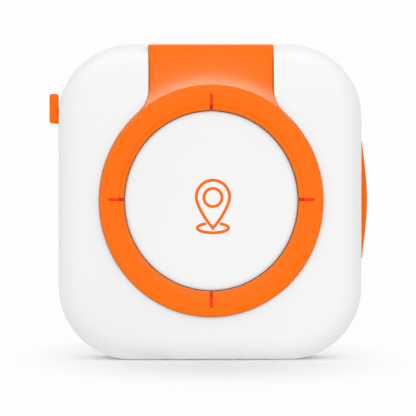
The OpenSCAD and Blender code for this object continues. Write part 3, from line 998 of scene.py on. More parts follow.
@dataclass(frozen=True)
class MouldedPlastic(Finish):
    """Injection-moulded plastic or rubber: a grained skin, clouds in the colour and faint marks of use.

    Where a painted bounce is given, it is the colour of the light that the plastic throws on what stands next
    to it, painted duller than the plastic so that their shade comes out darker and greyer.
    """

    colour: Colour
    shade: Colour
    roughness: float = 0.38
    spread: float = 0.06
    grain_scale: float = 7000.0
    grain_depth: float = 0.000004
    marks: float = 0.6
    gloss: float = 0.5
    painted_bounce: Optional[Colour] = None

    def dress(self, kit: NodeKit, shader: bpy.types.NodeInputs, effects: Effects) -> None:
        """Feeds colour, roughness and normal from the grain and the handling marks."""
        grain = effects.grain.into(kit, grain_scale=self.grain_scale, cloud_scale=70.0)
        marks = effects.marks.into(kit, line_scale=600.0, smear_scale=140.0, amount=self.marks)
        skin = tinted(kit, grain["Cloud"], self.colour, self.shade)
        # Painted bounce light: diffuse rays see a duller colour than the plastic, which darkens and greys the
        # shade on neighbouring parts.
        if self.painted_bounce:
            skin = tinted(kit, kit.node("ShaderNodeLightPath").outputs["Is Diffuse Ray"], skin, self.painted_bounce)
        kit.feed(shader["Base Color"], skin)
        plain = ranged(kit, grain["Flow"], self.roughness - self.spread, self.roughness + self.spread)
        rubbed = kit.sum("SUBTRACT", plain, kit.sum("MULTIPLY", marks["Smears"], 0.05))
        scored = kit.sum("ADD", rubbed, kit.sum("MULTIPLY", marks["Lines"], 0.12))
        kit.feed(shader["Roughness"], scored)
        height = kit.sum("SUBTRACT", grain["Grain"], kit.sum("MULTIPLY", marks["Lines"], 0.5))
        kit.feed(shader["Normal"], bumped(kit, height, self.grain_depth))
        shader["IOR"].default_value = 1.49
        shader["Specular IOR Level"].default_value = self.gloss


@dataclass(frozen=True)
class WorkedMetal(Finish):
    """Rolled, drawn or plated metal with fine lines and slow blotches."""

    colour: Colour
    shade: Colour
    roughness: float = 0.3
    line_scale: float = 6000.0
    stretch: float = 0.03
    line_depth: float = 0.000003

    def dress(self, kit: NodeKit, shader: bpy.types.NodeInputs, effects: Effects) -> None:
        """Feeds colour, roughness and normal from the lines."""
        lines = effects.lines.into(kit, scale=self.line_scale, stretch=self.stretch)
        marks = effects.marks.into(kit, line_scale=900.0, smear_scale=300.0, amount=0.8)
        kit.feed(shader["Base Color"], tinted(kit, lines["Blotch"], self.colour, self.shade))
        rough = ranged(kit, lines["Lines"], self.roughness - 0.06, self.roughness + 0.08)
        kit.feed(shader["Roughness"], kit.sum("ADD", rough, kit.sum("MULTIPLY", marks["Lines"], 0.1)))
        kit.feed(shader["Normal"], bumped(kit, lines["Lines"], self.line_depth))
        shader["Metallic"].default_value = 1.0


@dataclass(frozen=True)
class LacqueredBoard(Finish):
    """Circuit board: green lacquer over copper tracks, with tinned pads."""

    lacquer: Colour
    track: Colour
    pad: Colour

    def dress(self, kit: NodeKit, shader: bpy.types.NodeInputs, effects: Effects) -> None:
        """Feeds tracks and pads from two grids that are broken up by noise."""
        flat = kit.node("ShaderNodeMapping", {
            "Vector": kit.place(), "Rotation": (math.pi / 2, 0, 0)}).outputs[0]
        tracks = kit.node("ShaderNodeTexBrick", {
            "Vector": flat, "Color1": (1, 1, 1, 1), "Color2": (0.9, 0.9, 0.9, 1), "Mortar": (0, 0, 0, 1),
            "Scale": 260.0, "Mortar Size": 0.035, "Brick Width": 0.9, "Row Height": 0.22}, offset=0.37)
        pads = kit.node("ShaderNodeTexVoronoi", {
            "Vector": flat, "Scale": 420.0, "Randomness": 0.25}, distance="CHEBYCHEV")
        clouds = effects.grain.into(kit, grain_scale=5000.0, cloud_scale=240.0)
        sparse = kit.sum("GREATER_THAN", clouds["Cloud"], 0.54)
        dots = kit.sum("MULTIPLY", kit.sum("LESS_THAN", pads.outputs["Distance"], 0.2), sparse)
        copper = kit.sum("SUBTRACT", 1.0, tracks.outputs["Fac"])
        green = tinted(kit, copper, self.track, self.lacquer)
        kit.feed(shader["Base Color"], tinted(kit, dots, green, self.pad))
        kit.feed(shader["Metallic"], kit.sum("MULTIPLY", dots, 0.9))
        kit.feed(shader["Roughness"], ranged(kit, clouds["Flow"], 0.22, 0.34))
        relief = kit.sum("ADD", kit.sum("MULTIPLY", tracks.outputs["Fac"], 0.6), dots)
        kit.feed(shader["Normal"], bumped(kit, relief, 0.00002))


@dataclass(frozen=True)
class PouchFoil(Finish):
    """Foil pouch of a flat cell: satin foil with slight wrinkles and a band of tape."""

    foil: Colour
    tape: Colour
    tape_up: float
    shade: float = 0.85

    def dress(self, kit: NodeKit, shader: bpy.types.NodeInputs, effects: Effects) -> None:
        """Feeds the tape band by height, and the wrinkles."""
        grain = effects.grain.into(kit, grain_scale=1600.0, cloud_scale=180.0)
        height = kit.node("ShaderNodeSeparateXYZ", {0: kit.place()}).outputs["Z"]
        band = kit.sum("GREATER_THAN", height, self.tape_up)
        body = tinted(kit, grain["Cloud"], self.foil, tuple(c * self.shade for c in self.foil))
        kit.feed(shader["Base Color"], tinted(kit, band, body, self.tape))
        kit.feed(shader["Metallic"], kit.sum("MULTIPLY", kit.sum("SUBTRACT", 1.0, band), 0.8))
        kit.feed(shader["Roughness"], ranged(kit, grain["Flow"], 0.3, 0.5))
        kit.feed(shader["Normal"], bumped(kit, grain["Cloud"], 0.0002, 0.5))


@dataclass(frozen=True)
class OpenFoam(Finish):
    """Closed-cell foam pad with visible cells."""

    colour: Colour
    hollow: Colour

    def dress(self, kit: NodeKit, shader: bpy.types.NodeInputs, effects: Effects) -> None:
        """Feeds the cells from a cell pattern."""
        grain = effects.grain.into(kit, grain_scale=3000.0, cloud_scale=300.0)
        cells = kit.node("ShaderNodeTexVoronoi", {"Vector": kit.place(), "Scale": 2600.0}).outputs["Distance"]
        kit.feed(shader["Base Color"], tinted(kit, cells, self.hollow, self.colour))
        kit.feed(shader["Roughness"], ranged(kit, grain["Cloud"], 0.85, 0.95))
        kit.feed(shader["Normal"], bumped(kit, cells, 0.0001))


@dataclass(frozen=True)
class SpeckledCeramic(Finish):
    """Sintered antenna ceramic with a silvered plate on its front."""

    body: Colour
    silver: Colour
    plate_depth: float
    shade: float = 0.7

    def dress(self, kit: NodeKit, shader: bpy.types.NodeInputs, effects: Effects) -> None:
        """Feeds the silver where the patch stands in front of the ceramic."""
        grain = effects.grain.into(kit, grain_scale=4000.0, cloud_scale=900.0)
        depth = kit.node("ShaderNodeSeparateXYZ", {0: kit.place()}).outputs["Y"]
        silvered = kit.sum("LESS_THAN", depth, self.plate_depth)
        body = tinted(kit, grain["Cloud"], self.body, tuple(c * self.shade for c in self.body))
        kit.feed(shader["Base Color"], tinted(kit, silvered, body, self.silver))
        kit.feed(shader["Metallic"], kit.sum("MULTIPLY", silvered, 0.95))
        kit.feed(shader["Roughness"], ranged(kit, grain["Flow"], 0.35, 0.5))
        kit.feed(shader["Normal"], bumped(kit, grain["Grain"], 0.00001))


@dataclass(frozen=True)
class PrintedFilm(Finish):
    """Amber film antenna with copper runs under the film."""

    film: Colour
    copper: Colour

    def dress(self, kit: NodeKit, shader: bpy.types.NodeInputs, effects: Effects) -> None:
        """Feeds the copper runs from bands across the film."""
        grain = effects.grain.into(kit, grain_scale=2500.0, cloud_scale=200.0)
        runs = kit.node("ShaderNodeTexWave", {
            "Vector": kit.place(), "Scale": 130.0, "Distortion": 0.0}, bands_direction="X")
        mask = kit.sum("GREATER_THAN", runs.outputs["Fac"], 0.55)
        kit.feed(shader["Base Color"], tinted(kit, mask, self.film, self.copper))
        kit.feed(shader["Metallic"], kit.sum("MULTIPLY", mask, 0.7))
        kit.feed(shader["Roughness"], ranged(kit, grain["Flow"], 0.25, 0.4))
        kit.feed(shader["Normal"], bumped(kit, mask, 0.00003))


WHITE = srgb(242, 242, 242)
WHITE_SHADE = srgb(239, 239, 239)
# Painted bounce colour of the orange parts, duller than their own orange, so that the shade they throw on
# neighbours is darker and greyer.
PAINTED_BOUNCE_TINT = srgb(168, 142, 132)
FINISHES: dict[Slot, Finish] = {
    Slot.WHITE_SHELL: MouldedPlastic(WHITE, WHITE_SHADE, 0.58, 0.06, gloss=0.06),
    Slot.ORANGE_RING: MouldedPlastic(
        srgb(252, 113, 4), srgb(250, 111, 2), 0.39, 0.03, gloss=0.11, painted_bounce=PAINTED_BOUNCE_TINT),
    Slot.RED_MARK: MouldedPlastic(srgb(247, 60, 12), srgb(243, 56, 8), 0.46, 0.04, gloss=0.08),
    Slot.WHITE_CAP: MouldedPlastic(WHITE, WHITE_SHADE, 0.55, 0.05, 9000.0, gloss=0.06),
    Slot.ORANGE_KEY: MouldedPlastic(
        srgb(252, 108, 4), srgb(250, 105, 2), 0.46, 0.04, gloss=0.05, painted_bounce=PAINTED_BOUNCE_TINT),
    Slot.CLEAR_SILICONE: MouldedPlastic(srgb(214, 219, 221), srgb(200, 207, 210), 0.45),
    Slot.BLACK_PLASTIC: MouldedPlastic(srgb(38, 38, 40), srgb(30, 30, 32), 0.45),
    Slot.SWITCH_STEEL: WorkedMetal(srgb(200, 202, 204), srgb(182, 184, 187), 0.3),
    Slot.GREY_RUBBER: MouldedPlastic(srgb(120, 122, 124), srgb(104, 106, 108), 0.7),
    Slot.GREEN_BOARD: LacqueredBoard(srgb(20, 84, 48), srgb(36, 112, 62), srgb(206, 204, 192)),
    Slot.CELL_FOIL: PouchFoil(srgb(176, 184, 194), srgb(206, 150, 40), tape_up=0.0335),
    Slot.GREY_FOAM: OpenFoam(srgb(92, 94, 98), srgb(52, 53, 56)),
    Slot.ANTENNA_CERAMIC: SpeckledCeramic(
        srgb(196, 176, 140), srgb(206, 206, 204), plate_depth=-0.0044),
    Slot.SHIELD_STEEL: WorkedMetal(srgb(196, 198, 200), srgb(176, 178, 182), 0.34, 4500.0),
    Slot.CARD_PLASTIC: MouldedPlastic(srgb(232, 230, 222), srgb(224, 221, 212), 0.4),
    Slot.GOLD_CONTACT: WorkedMetal(srgb(232, 190, 98), srgb(218, 172, 80), 0.22, 9000.0, 1.0),
    Slot.ANTENNA_FILM: PrintedFilm(srgb(176, 110, 40), srgb(214, 138, 84)),
    Slot.SCREW_STEEL: WorkedMetal(srgb(150, 152, 156), srgb(124, 126, 130), 0.28, 9000.0, 1.0),
    Slot.BRASS_INSERT: WorkedMetal(srgb(212, 176, 96), srgb(190, 152, 76), 0.3, 5000.0),
}


@dataclass
class Bench:
    """What every sub-assembly needs: the trees, the materials and the shared sizes."""

    shop: Workshop
    materials: dict[Slot, bpy.types.Material]
    case: CaseSizes
    strap: StrapSizes

    def disc(self, name: str, reach: float, low: float, high: float, around: int) -> Piece:
        """Upright oval disc on the ring's axis.

        Args:
            name: Name of the object.
            reach: Half its width.
            low, high: The depths of its two faces.
            around: Steps round the axis.

        Returns:
            The disc.
        """
        case = self.case
        return self.shop.rod(name, reach, low, high, case.ring_up, tall=case.tall, around=around)

    def in_ring(self, piece: Piece, count: int, start: float, radius: float) -> Piece:
        """Repeats a piece round the ring's axis, from a first angle in degrees."""
        return self.shop.ring.run(piece, count=count, start=math.radians(start), radius=radius,
                                  centre=(0.0, self.case.ring_up, 0.0))

    def at_guides(self, piece: Piece) -> Piece:
        """Repeats a piece at the three guide pins of the centre button."""
        return self.in_ring(piece, 3, self.case.guide_start, self.case.guide_ring)

    def at_stakes(self, piece: Piece) -> Piece:
        """Repeats a piece at the four stakes that hold the ring."""
        return self.in_ring(piece, 4, self.case.stake_start, self.case.stake_ring)

    def at_screws(self, piece: Piece) -> Piece:
        """Repeats a piece at the four case screws."""
        case = self.case
        return self.shop.grid.run(
            piece, columns=2, rows=2, column_pitch=2 * case.screw_across, row_pitch=case.screw_pitch,
            centre=(0.0, case.screw_low + case.screw_pitch / 2, 0.0))

    def at_contacts(self, piece: Piece) -> Piece:
        """Repeats a piece at the four charging contacts."""
        return self.shop.grid.run(piece, columns=4, rows=1, column_pitch=self.case.contact_pitch,
                                  centre=(0.0, self.case.contact_up, 0.0))


@dataclass
class SubAssembly:
    """Base of the sub-assemblies, with the last steps that every piece goes through."""

    bench: Bench

    def hand_over(self, piece: Piece, slot: Slot, body: str, *nodes: str) -> Piece:
        """Closes a piece's mesh, stands it upright in metres, dresses it and lets it ride on its body.

        Args:
            piece: The piece, drawn in millimetres.
            slot: The material slot that its finish comes from.
            body: The body that it moves with.
            nodes: The CAD nodes that it stands for.

        Returns:
            The piece.
        """
        mesh = piece.data
        work = bmesh.new()
        work.from_mesh(mesh)
        bmesh.ops.remove_doubles(work, verts=work.verts, dist=WELD)
        bmesh.ops.dissolve_degenerate(work, edges=work.edges, dist=WELD)
        leaks = [edge for edge in work.edges if edge.is_boundary]
        bmesh.ops.holes_fill(work, edges=leaks, sides=LEAK_SIDES)
        work.to_mesh(mesh)
        work.free()
        mesh.transform(UPRIGHT)
        mesh.materials.clear()
        mesh.materials.append(self.bench.materials[slot])
        mesh.polygons.foreach_set("material_index", [0] * len(mesh.polygons))
        mesh.shade_smooth()
        mesh.set_sharp_from_angle(angle=math.radians(SHARP_OVER))
        mesh.update()
        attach(piece, body)
        if nodes:
            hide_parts(*nodes)
        LOG.info("%s: %d faces, rides on %s", piece.name, len(mesh.polygons), body)
        return piece


@dataclass
class Case(SubAssembly):
    """The two white shells, with everything that is moulded into them."""

    fillet_steps: int = 14
    swell_steps: int = 8
    tongue_in: float = 1.0
    tongue_thick: float = 0.8
    tongue_high: float = 0.8
    tongue_root: float = 0.01
    gasket_high: float = 0.4
    drum_over: float = 1.0
    bed_over: float = 0.8
    boss_reach: float = 2.5
    sleeve_reach: float = 2.4
    insert_bore: float = 1.42
    insert_long: float = 3.0
    insert_step: float = 3.01
    shank_bore: float = 1.0
    shank_deep: float = 3.8
    head_bore: float = 1.75
    head_deep: float = 1.6
    post_bore: float = 2.6
    guide_bore: float = 0.95
    stake_bore: float = 0.75
    pad_over: float = 0.9
    key_gap: float = 0.1
    mic_across: float = 6.75
    mic_depth: float = 0.85
    mic_bore: float = 0.5
    grille_up: float = 8.7
    grille_pitch: float = 1.9
    grille_bore: float = 0.5
    battery: Point = (30.5, 18.4)
    battery_up: float = 27.2
    battery_corner: float = 1.2
    speaker: Point = (14.53, 9.0)
    speaker_corner: float = 2.0
    rib_room: float = 0.3
    rib_thick: float = 0.8
    rib_high: float = 2.4
    bed_size: tuple[float, float, float] = (14.6, 4.4, 1.6)
    pin_head_bore: float = 1.15
    pin_bore: float = 0.85
    pin_start: float = -0.1
    pin_step: float = 0.9

    def half(self, name: str, depth: float, rounding: float, swell: float, front: bool) -> Piece:
        """Outer form of one half of the case, solid.

        Args:
            name: Name of the object.
            depth: From the parting plane to the middle of the face.
            rounding: Radius of the edge of the face.
            swell: How far the face rises from its margin to its middle.
            front: True for the front half.

        Returns:
            The solid half.
        """
        case = self.bench.case
        outline = case.outline()
        flat = case.corner - rounding
        turn = 90 - math.degrees(math.atan(2 * swell / flat))
        middle = depth - swell - rounding * math.sin(math.radians(turn))
        profile = [(case.corner - case.groove, 0.0), (case.corner, case.groove)]
        profile += arc(flat, middle, rounding, 0, turn, self.fillet_steps)
        end = profile[-1][0]
        if swell > 0:
            shares = [1 - i / self.swell_steps for i in range(1, self.swell_steps)]
            profile += [(end * s, depth - swell * s * s) for s in shares]
        profile.append((0.0, depth))
        side = 1 if front else -1
        up = (0, case.height / 2, 0)
        return loft(name, [outline.loop(reach, case.seam + side * z) + up for reach, z in profile])

    def band(self, inset: float, thick: float, low: float, high: float) -> Piece:
        """Thin wall that follows the outline of the case.

        Args:
            inset: Distance of its outer side from the outside of the case.
            thick: Its thickness.
            low, high: Its depths.

        Returns:
            The band.
        """
        case = self.bench.case
        up = case.height / 2
        outer = plate("band", case.outline(inset), up, low, high)
        inner = plate("band_room", case.outline(inset + thick), up, low - OVERRUN, high + OVERRUN)
        return worked(outer, Join.CUT, inner)

    def key_box(self, name: str, side: int, across: Point, along: Point, deep: float) -> Piece:
        """Box round a side key, for its pad and for its slot.

        Args:
            name: Name of the object.
            side: -1 on the left, 1 on the right.
            across: Its two sides, from the middle of the case outwards.
            along: Its two ends, from the base.
            deep: Half its depth.

        Returns:
            The box.
        """
        left, right = sorted(side * x for x in across)
        middle = self.bench.case.key_middle
        return block(name, (left, along[0], middle - deep), (right, along[1], middle + deep))

    def keys(self) -> tuple[tuple[int, float, float], tuple[int, float, float]]:
        """Side, height and half the length of the power key and of the long key."""
        case = self.bench.case
        return (-1, case.power_up, case.power_length / 2), (1, case.ring_up, case.side_length / 2)

    def key_pads(self) -> list[Piece]:
        """Thicker places of the side walls, round both keys."""
        case, over = self.bench.case, self.pad_over
        out = case.width / 2 - case.wall + OVERRUN
        return [self.key_box("pad", side, (case.key_seat, out), (up - half - over, up + half + over),
                             (case.key_depth + over) / 2) for side, up, half in self.keys()]

    def key_slots(self) -> list[Piece]:
        """Slots of both keys, and the shallow room behind the power key's overhang.

        Returns:
            The boxes that are cut out of the side walls.
        """
        case, gap = self.bench.case, self.key_gap
        inner = case.key_seat - OVERRUN
        recess = case.width / 2 - case.power_sink - case.key_travel - gap
        power, long_key = self.keys()
        rooms = ((power, inner, case.power_over), (power, recess, 0.0), (long_key, inner, 0.0))
        return [self.key_box("slot", side, (near, case.width), (up - half - gap, up + half + gap - short),
                             case.key_depth / 2 + gap) for (side, up, half), near, short in rooms]

    def nut_bores(self) -> Piece:
        """Bores for the four threaded inserts, narrower where the screws end.

        Returns:
            The solid that is cut out of the bosses.
        """
        start = self.bench.case.board_front
        section = [(0, start - OVERRUN), (self.insert_bore, start - OVERRUN),
                   (self.insert_bore, start + self.insert_long), (self.shank_bore, start + self.insert_step),
                   (self.shank_bore, start + self.shank_deep), (0, start + self.shank_deep)]
        return self.bench.at_screws(self.bench.shop.turned("nut_bore", section, around=48))

    def mic_hole(self) -> Piece:
        """Bore of the microphone, up through the base."""
        bore = self.bench.shop.rod("mic_bore", self.mic_bore, -OVERRUN, self.bench.case.wall + OVERRUN)
        bore.data.transform(Matrix.Rotation(-math.pi / 2, 4, "X"))
        bore.data.transform(Matrix.Translation((self.mic_across, 0, self.mic_depth)))
        return bore

    def front_shell(self) -> Piece:
        """Front shell: the domed face with the ring's seat, the strap's bed and the key slots.

        Returns:
            The finished shell.
        """
        bench, case, strap, shop = self.bench, self.bench.case, self.bench.strap, self.bench.shop
        shell = self.half("front_housing", case.front - case.seam, case.front_round, case.swell, True)
        room = plate("room", case.outline(case.wall), case.height / 2, case.seam - OVERRUN, case.ceiling)
        worked(shell, Join.CUT, room)
        drum = bench.disc("drum", case.ring_reach + self.drum_over, case.drum_back, case.ring_seat, 128)
        neck_bed = strap.bed_outline(self.bed_over, case.height - case.wall)
        bed = prism("bed", neck_bed, case.drum_back, strap.bed)
        boss = shop.rod("boss", self.boss_reach, case.board_front, case.ceiling + case.wall / 2)
        worked(shell, Join.ADD, drum, bed, bench.at_screws(boss), *self.key_pads())
        rebate = self.band(self.tongue_in - case.gap, case.wall, case.seam - OVERRUN,
                           case.seam + self.tongue_high + self.gasket_high)
        seat = bench.disc("seat", case.ring_reach + case.gap, case.ring_seat, case.before, 192)
        flange_room = case.flange_reach + case.cap_gap
        pocket = bench.disc("pocket", flange_room, case.pocket, case.ring_seat + OVERRUN, 128)
        channel = strap.form("channel", case.gap, OVERRUN)
        low, high = case.drum_back - OVERRUN, case.pocket + OVERRUN
        post = shop.rod("post_bore", self.post_bore, low, high, case.ring_up)
        guides = bench.at_guides(shop.rod("guide_bore", self.guide_bore, low, high))
        stakes = bench.at_stakes(shop.rod("stake_bore", self.stake_bore, low, case.ring_seat + OVERRUN))
        worked(shell, Join.CUT, rebate, seat, pocket, channel, post, guides, stakes, self.nut_bores(),
               *self.key_slots(), self.mic_hole())
        return self.hand_over(shell, Slot.WHITE_SHELL, "case", "front_shell")

    def rib_frame(self, name: str, size: Point, up: float, corner: float) -> Piece:
        """Frame of low ribs round a piece on the rear wall.

        Args:
            name: Name of the object.
            size: Width and height of the piece.
            up: Height of its middle.
            corner: Radius of its corners.

        Returns:
            The frame.
        """
        floor, high = self.bench.case.inner_rear, self.rib_high
        outer, inner = [RoundedRectangle(size[0] + 2 * over, size[1] + 2 * over, corner + over, 8, 2)
                        for over in (self.rib_room + self.rib_thick, self.rib_room)]
        ribs = plate(name, outer, up, floor - self.bench.case.wall / 2, floor + high)
        return worked(ribs, Join.CUT, plate("rib_room", inner, up, floor, floor + high + OVERRUN))

    def rear_room(self) -> Piece:
        """Room inside the rear shell, with a rounding that keeps the wall even.

        Returns:
            The solid that is cut out of the shell.
        """
        case = self.bench.case
        outline, rounding = case.outline(case.wall), case.rear_round - case.wall
        depth = case.front + case.seam - case.wall
        profile = [(outline.corner, -OVERRUN)]
        profile += arc(outline.corner - rounding, depth - rounding, rounding, 0, 90, 8)
        profile.append((0.0, depth))
        up = (0, case.height / 2, 0)
        return loft("room", [outline.loop(reach, case.seam - z) + up for reach, z in profile])

    def screw_bores(self) -> Piece:
        """Bores for the four case screws, wider at their heads.

        Returns:
            The solid that is cut out of the shell and its sleeves.
        """
        back = -self.bench.case.front
        seat = back + self.head_deep
        section = [(0, back - OVERRUN), (self.head_bore, back - OVERRUN), (self.head_bore, seat),
                   (self.shank_bore, seat), (self.shank_bore, OVERRUN), (0, OVERRUN)]
        return self.bench.at_screws(self.bench.shop.turned("screw_bore", section, around=64))

    def grille(self) -> Piece:
        """The speaker's holes, in three rows of five."""
        case, shop, pitch = self.bench.case, self.bench.shop, self.grille_pitch
        low, high = -case.front - OVERRUN, case.inner_rear + OVERRUN
        hole = shop.rod("grille", self.grille_bore, low, high, around=32)
        return shop.grid.run(hole, columns=5, rows=3, column_pitch=pitch, row_pitch=pitch,
                             centre=(0.0, self.grille_up, 0.0))

    def pin_bores(self) -> Piece:
        """Stepped bores for the four charging contacts.

        Returns:
            The solid that is cut out of the rear wall.
        """
        case = self.bench.case
        start, step, end = self.pin_start - case.front, self.pin_step - case.front, case.inner_rear + OVERRUN
        section = [(0, start), (self.pin_head_bore, start), (self.pin_head_bore, step), (self.pin_bore, step),
                   (self.pin_bore, end), (0, end)]
        return self.bench.at_contacts(self.bench.shop.turned("pin_bore", section, around=40))

    def rear_shell(self) -> Piece:
        """Rear shell: the flat back with the speaker's grille, the contact bed and the screw bores.

        Returns:
            The finished shell.
        """
        bench, case = self.bench, self.bench.case
        shell = self.half("rear_housing", case.front + case.seam, case.rear_round, 0.0, False)
        worked(shell, Join.CUT, self.rear_room())
        tongue = self.band(self.tongue_in, self.tongue_thick, case.seam - self.tongue_root,
                           case.seam + self.tongue_high)
        ribs = self.rib_frame("ribs", self.battery, self.battery_up, self.battery_corner)
        speaker_ribs = self.rib_frame("speaker_ribs", self.speaker, self.grille_up, self.speaker_corner)
        sleeve = bench.shop.rod("sleeve", self.sleeve_reach, case.inner_rear - case.wall / 2, case.board_back)
        worked(shell, Join.ADD, tongue, ribs, speaker_ribs, bench.at_screws(sleeve))
        channel = bench.strap.form("channel", case.gap, OVERRUN)
        outline = RoundedRectangle(*self.bed_size, 12, 3)
        bed = plate("contact_bed", outline, case.contact_up, -case.front - OVERRUN,
                    case.contact_sunk - case.front)
        worked(shell, Join.CUT, channel, self.screw_bores(), self.grille(), bed, self.pin_bores())
        return self.hand_over(shell, Slot.WHITE_SHELL, "case", "rear_shell")

    def build(self) -> None:
        """Builds both shells."""
        self.front_shell()
        self.rear_shell()


@dataclass
class FaceRing(SubAssembly):
    """The orange ring with its neck and strap, and the four red marks in it."""

    edge: float = 0.4
    bevel_wide: float = 0.7
    bevel_deep: float = 0.18
    soft: float = 0.07
    around: int = 256
    mark_wide: float = 0.45
    mark_long: float = 2.23
    mark_tall: float = 2.33
    mark_lift: float = 0.18
    mark_under: float = 0.2
    mark_sunk: float = 0.45
    side_ease: float = 0.2
    stake: float = 0.7
    stake_over: float = 0.6

    def annulus(self, name: str, sunk: float = 0.0) -> Piece:
        """The ring alone, turned from its section.

        Args:
            name: Name of the object.
            sunk: How far its inner slope lies under the ring's own.

        Returns:
            The ring.
        """
        case = self.bench.case
        face, bore, out = case.ring_face, case.bore_reach, case.ring_reach
        slope, low = bore + self.bevel_wide, face - self.bevel_deep - sunk
        room = case.flange_reach + case.cap_gap
        section = softened([(room, case.lip, 0), (room, case.ring_seat, 0), (out, case.ring_seat, 0),
                            (out, face, self.edge), (slope, face, 0.0 if sunk else self.soft)])
        if sunk:
            section.append((slope, face - sunk))
        section += softened([(slope, face - sunk, 0), (bore, low, self.soft), (bore, case.lip, 0)])[1:]
        section.append(section[0])
        return self.bench.shop.turned(name, section, case.ring_up, tall=case.tall, around=self.around)

    def slabs(self, name: str) -> Piece:
        """Four slabs through the inner edge of the ring, where the marks sit.

        Args:
            name: Name of the object.

        Returns:
            The slabs as one mesh.
        """
        case = self.bench.case
        half = self.mark_wide / 2
        floor = case.ring_face - case.bevel_depth - self.mark_under
        pairs = []
        for start, lift, reach in ((0.0, self.mark_lift, self.mark_long), (math.pi / 2, 0.0, self.mark_tall)):
            slab = block(name, (-OVERRUN, -half, floor), (reach, half, case.before))
            centre = (0.0, case.ring_up + lift, 0.0)
            pairs.append(self.bench.shop.ring.run(
                slab, count=2, start=start, radius=case.bore_reach, tall_share=case.tall, centre=centre))
        return worked(pairs[0], Join.ADD, pairs[1])

    def build(self) -> None:
        """Builds the ring and its marks."""
        bench, case = self.bench, self.bench.case
        ring = self.annulus("ring_and_strap")
        strap = eased(bench.strap.form("strap"), self.side_ease)
        low, high = case.drum_back - self.stake_over, case.ring_seat + OVERRUN
        worked(ring, Join.ADD, strap, bench.at_stakes(bench.shop.rod("stake", self.stake, low, high)))
        worked(ring, Join.CUT, self.slabs("slots"))
        self.hand_over(ring, Slot.ORANGE_RING, "case", "face_ring")
        marks = worked(self.annulus("red_marks", self.mark_sunk), Join.KEEP, self.slabs("slab"))
        self.hand_over(marks, Slot.RED_MARK, "case", "ring_marks")


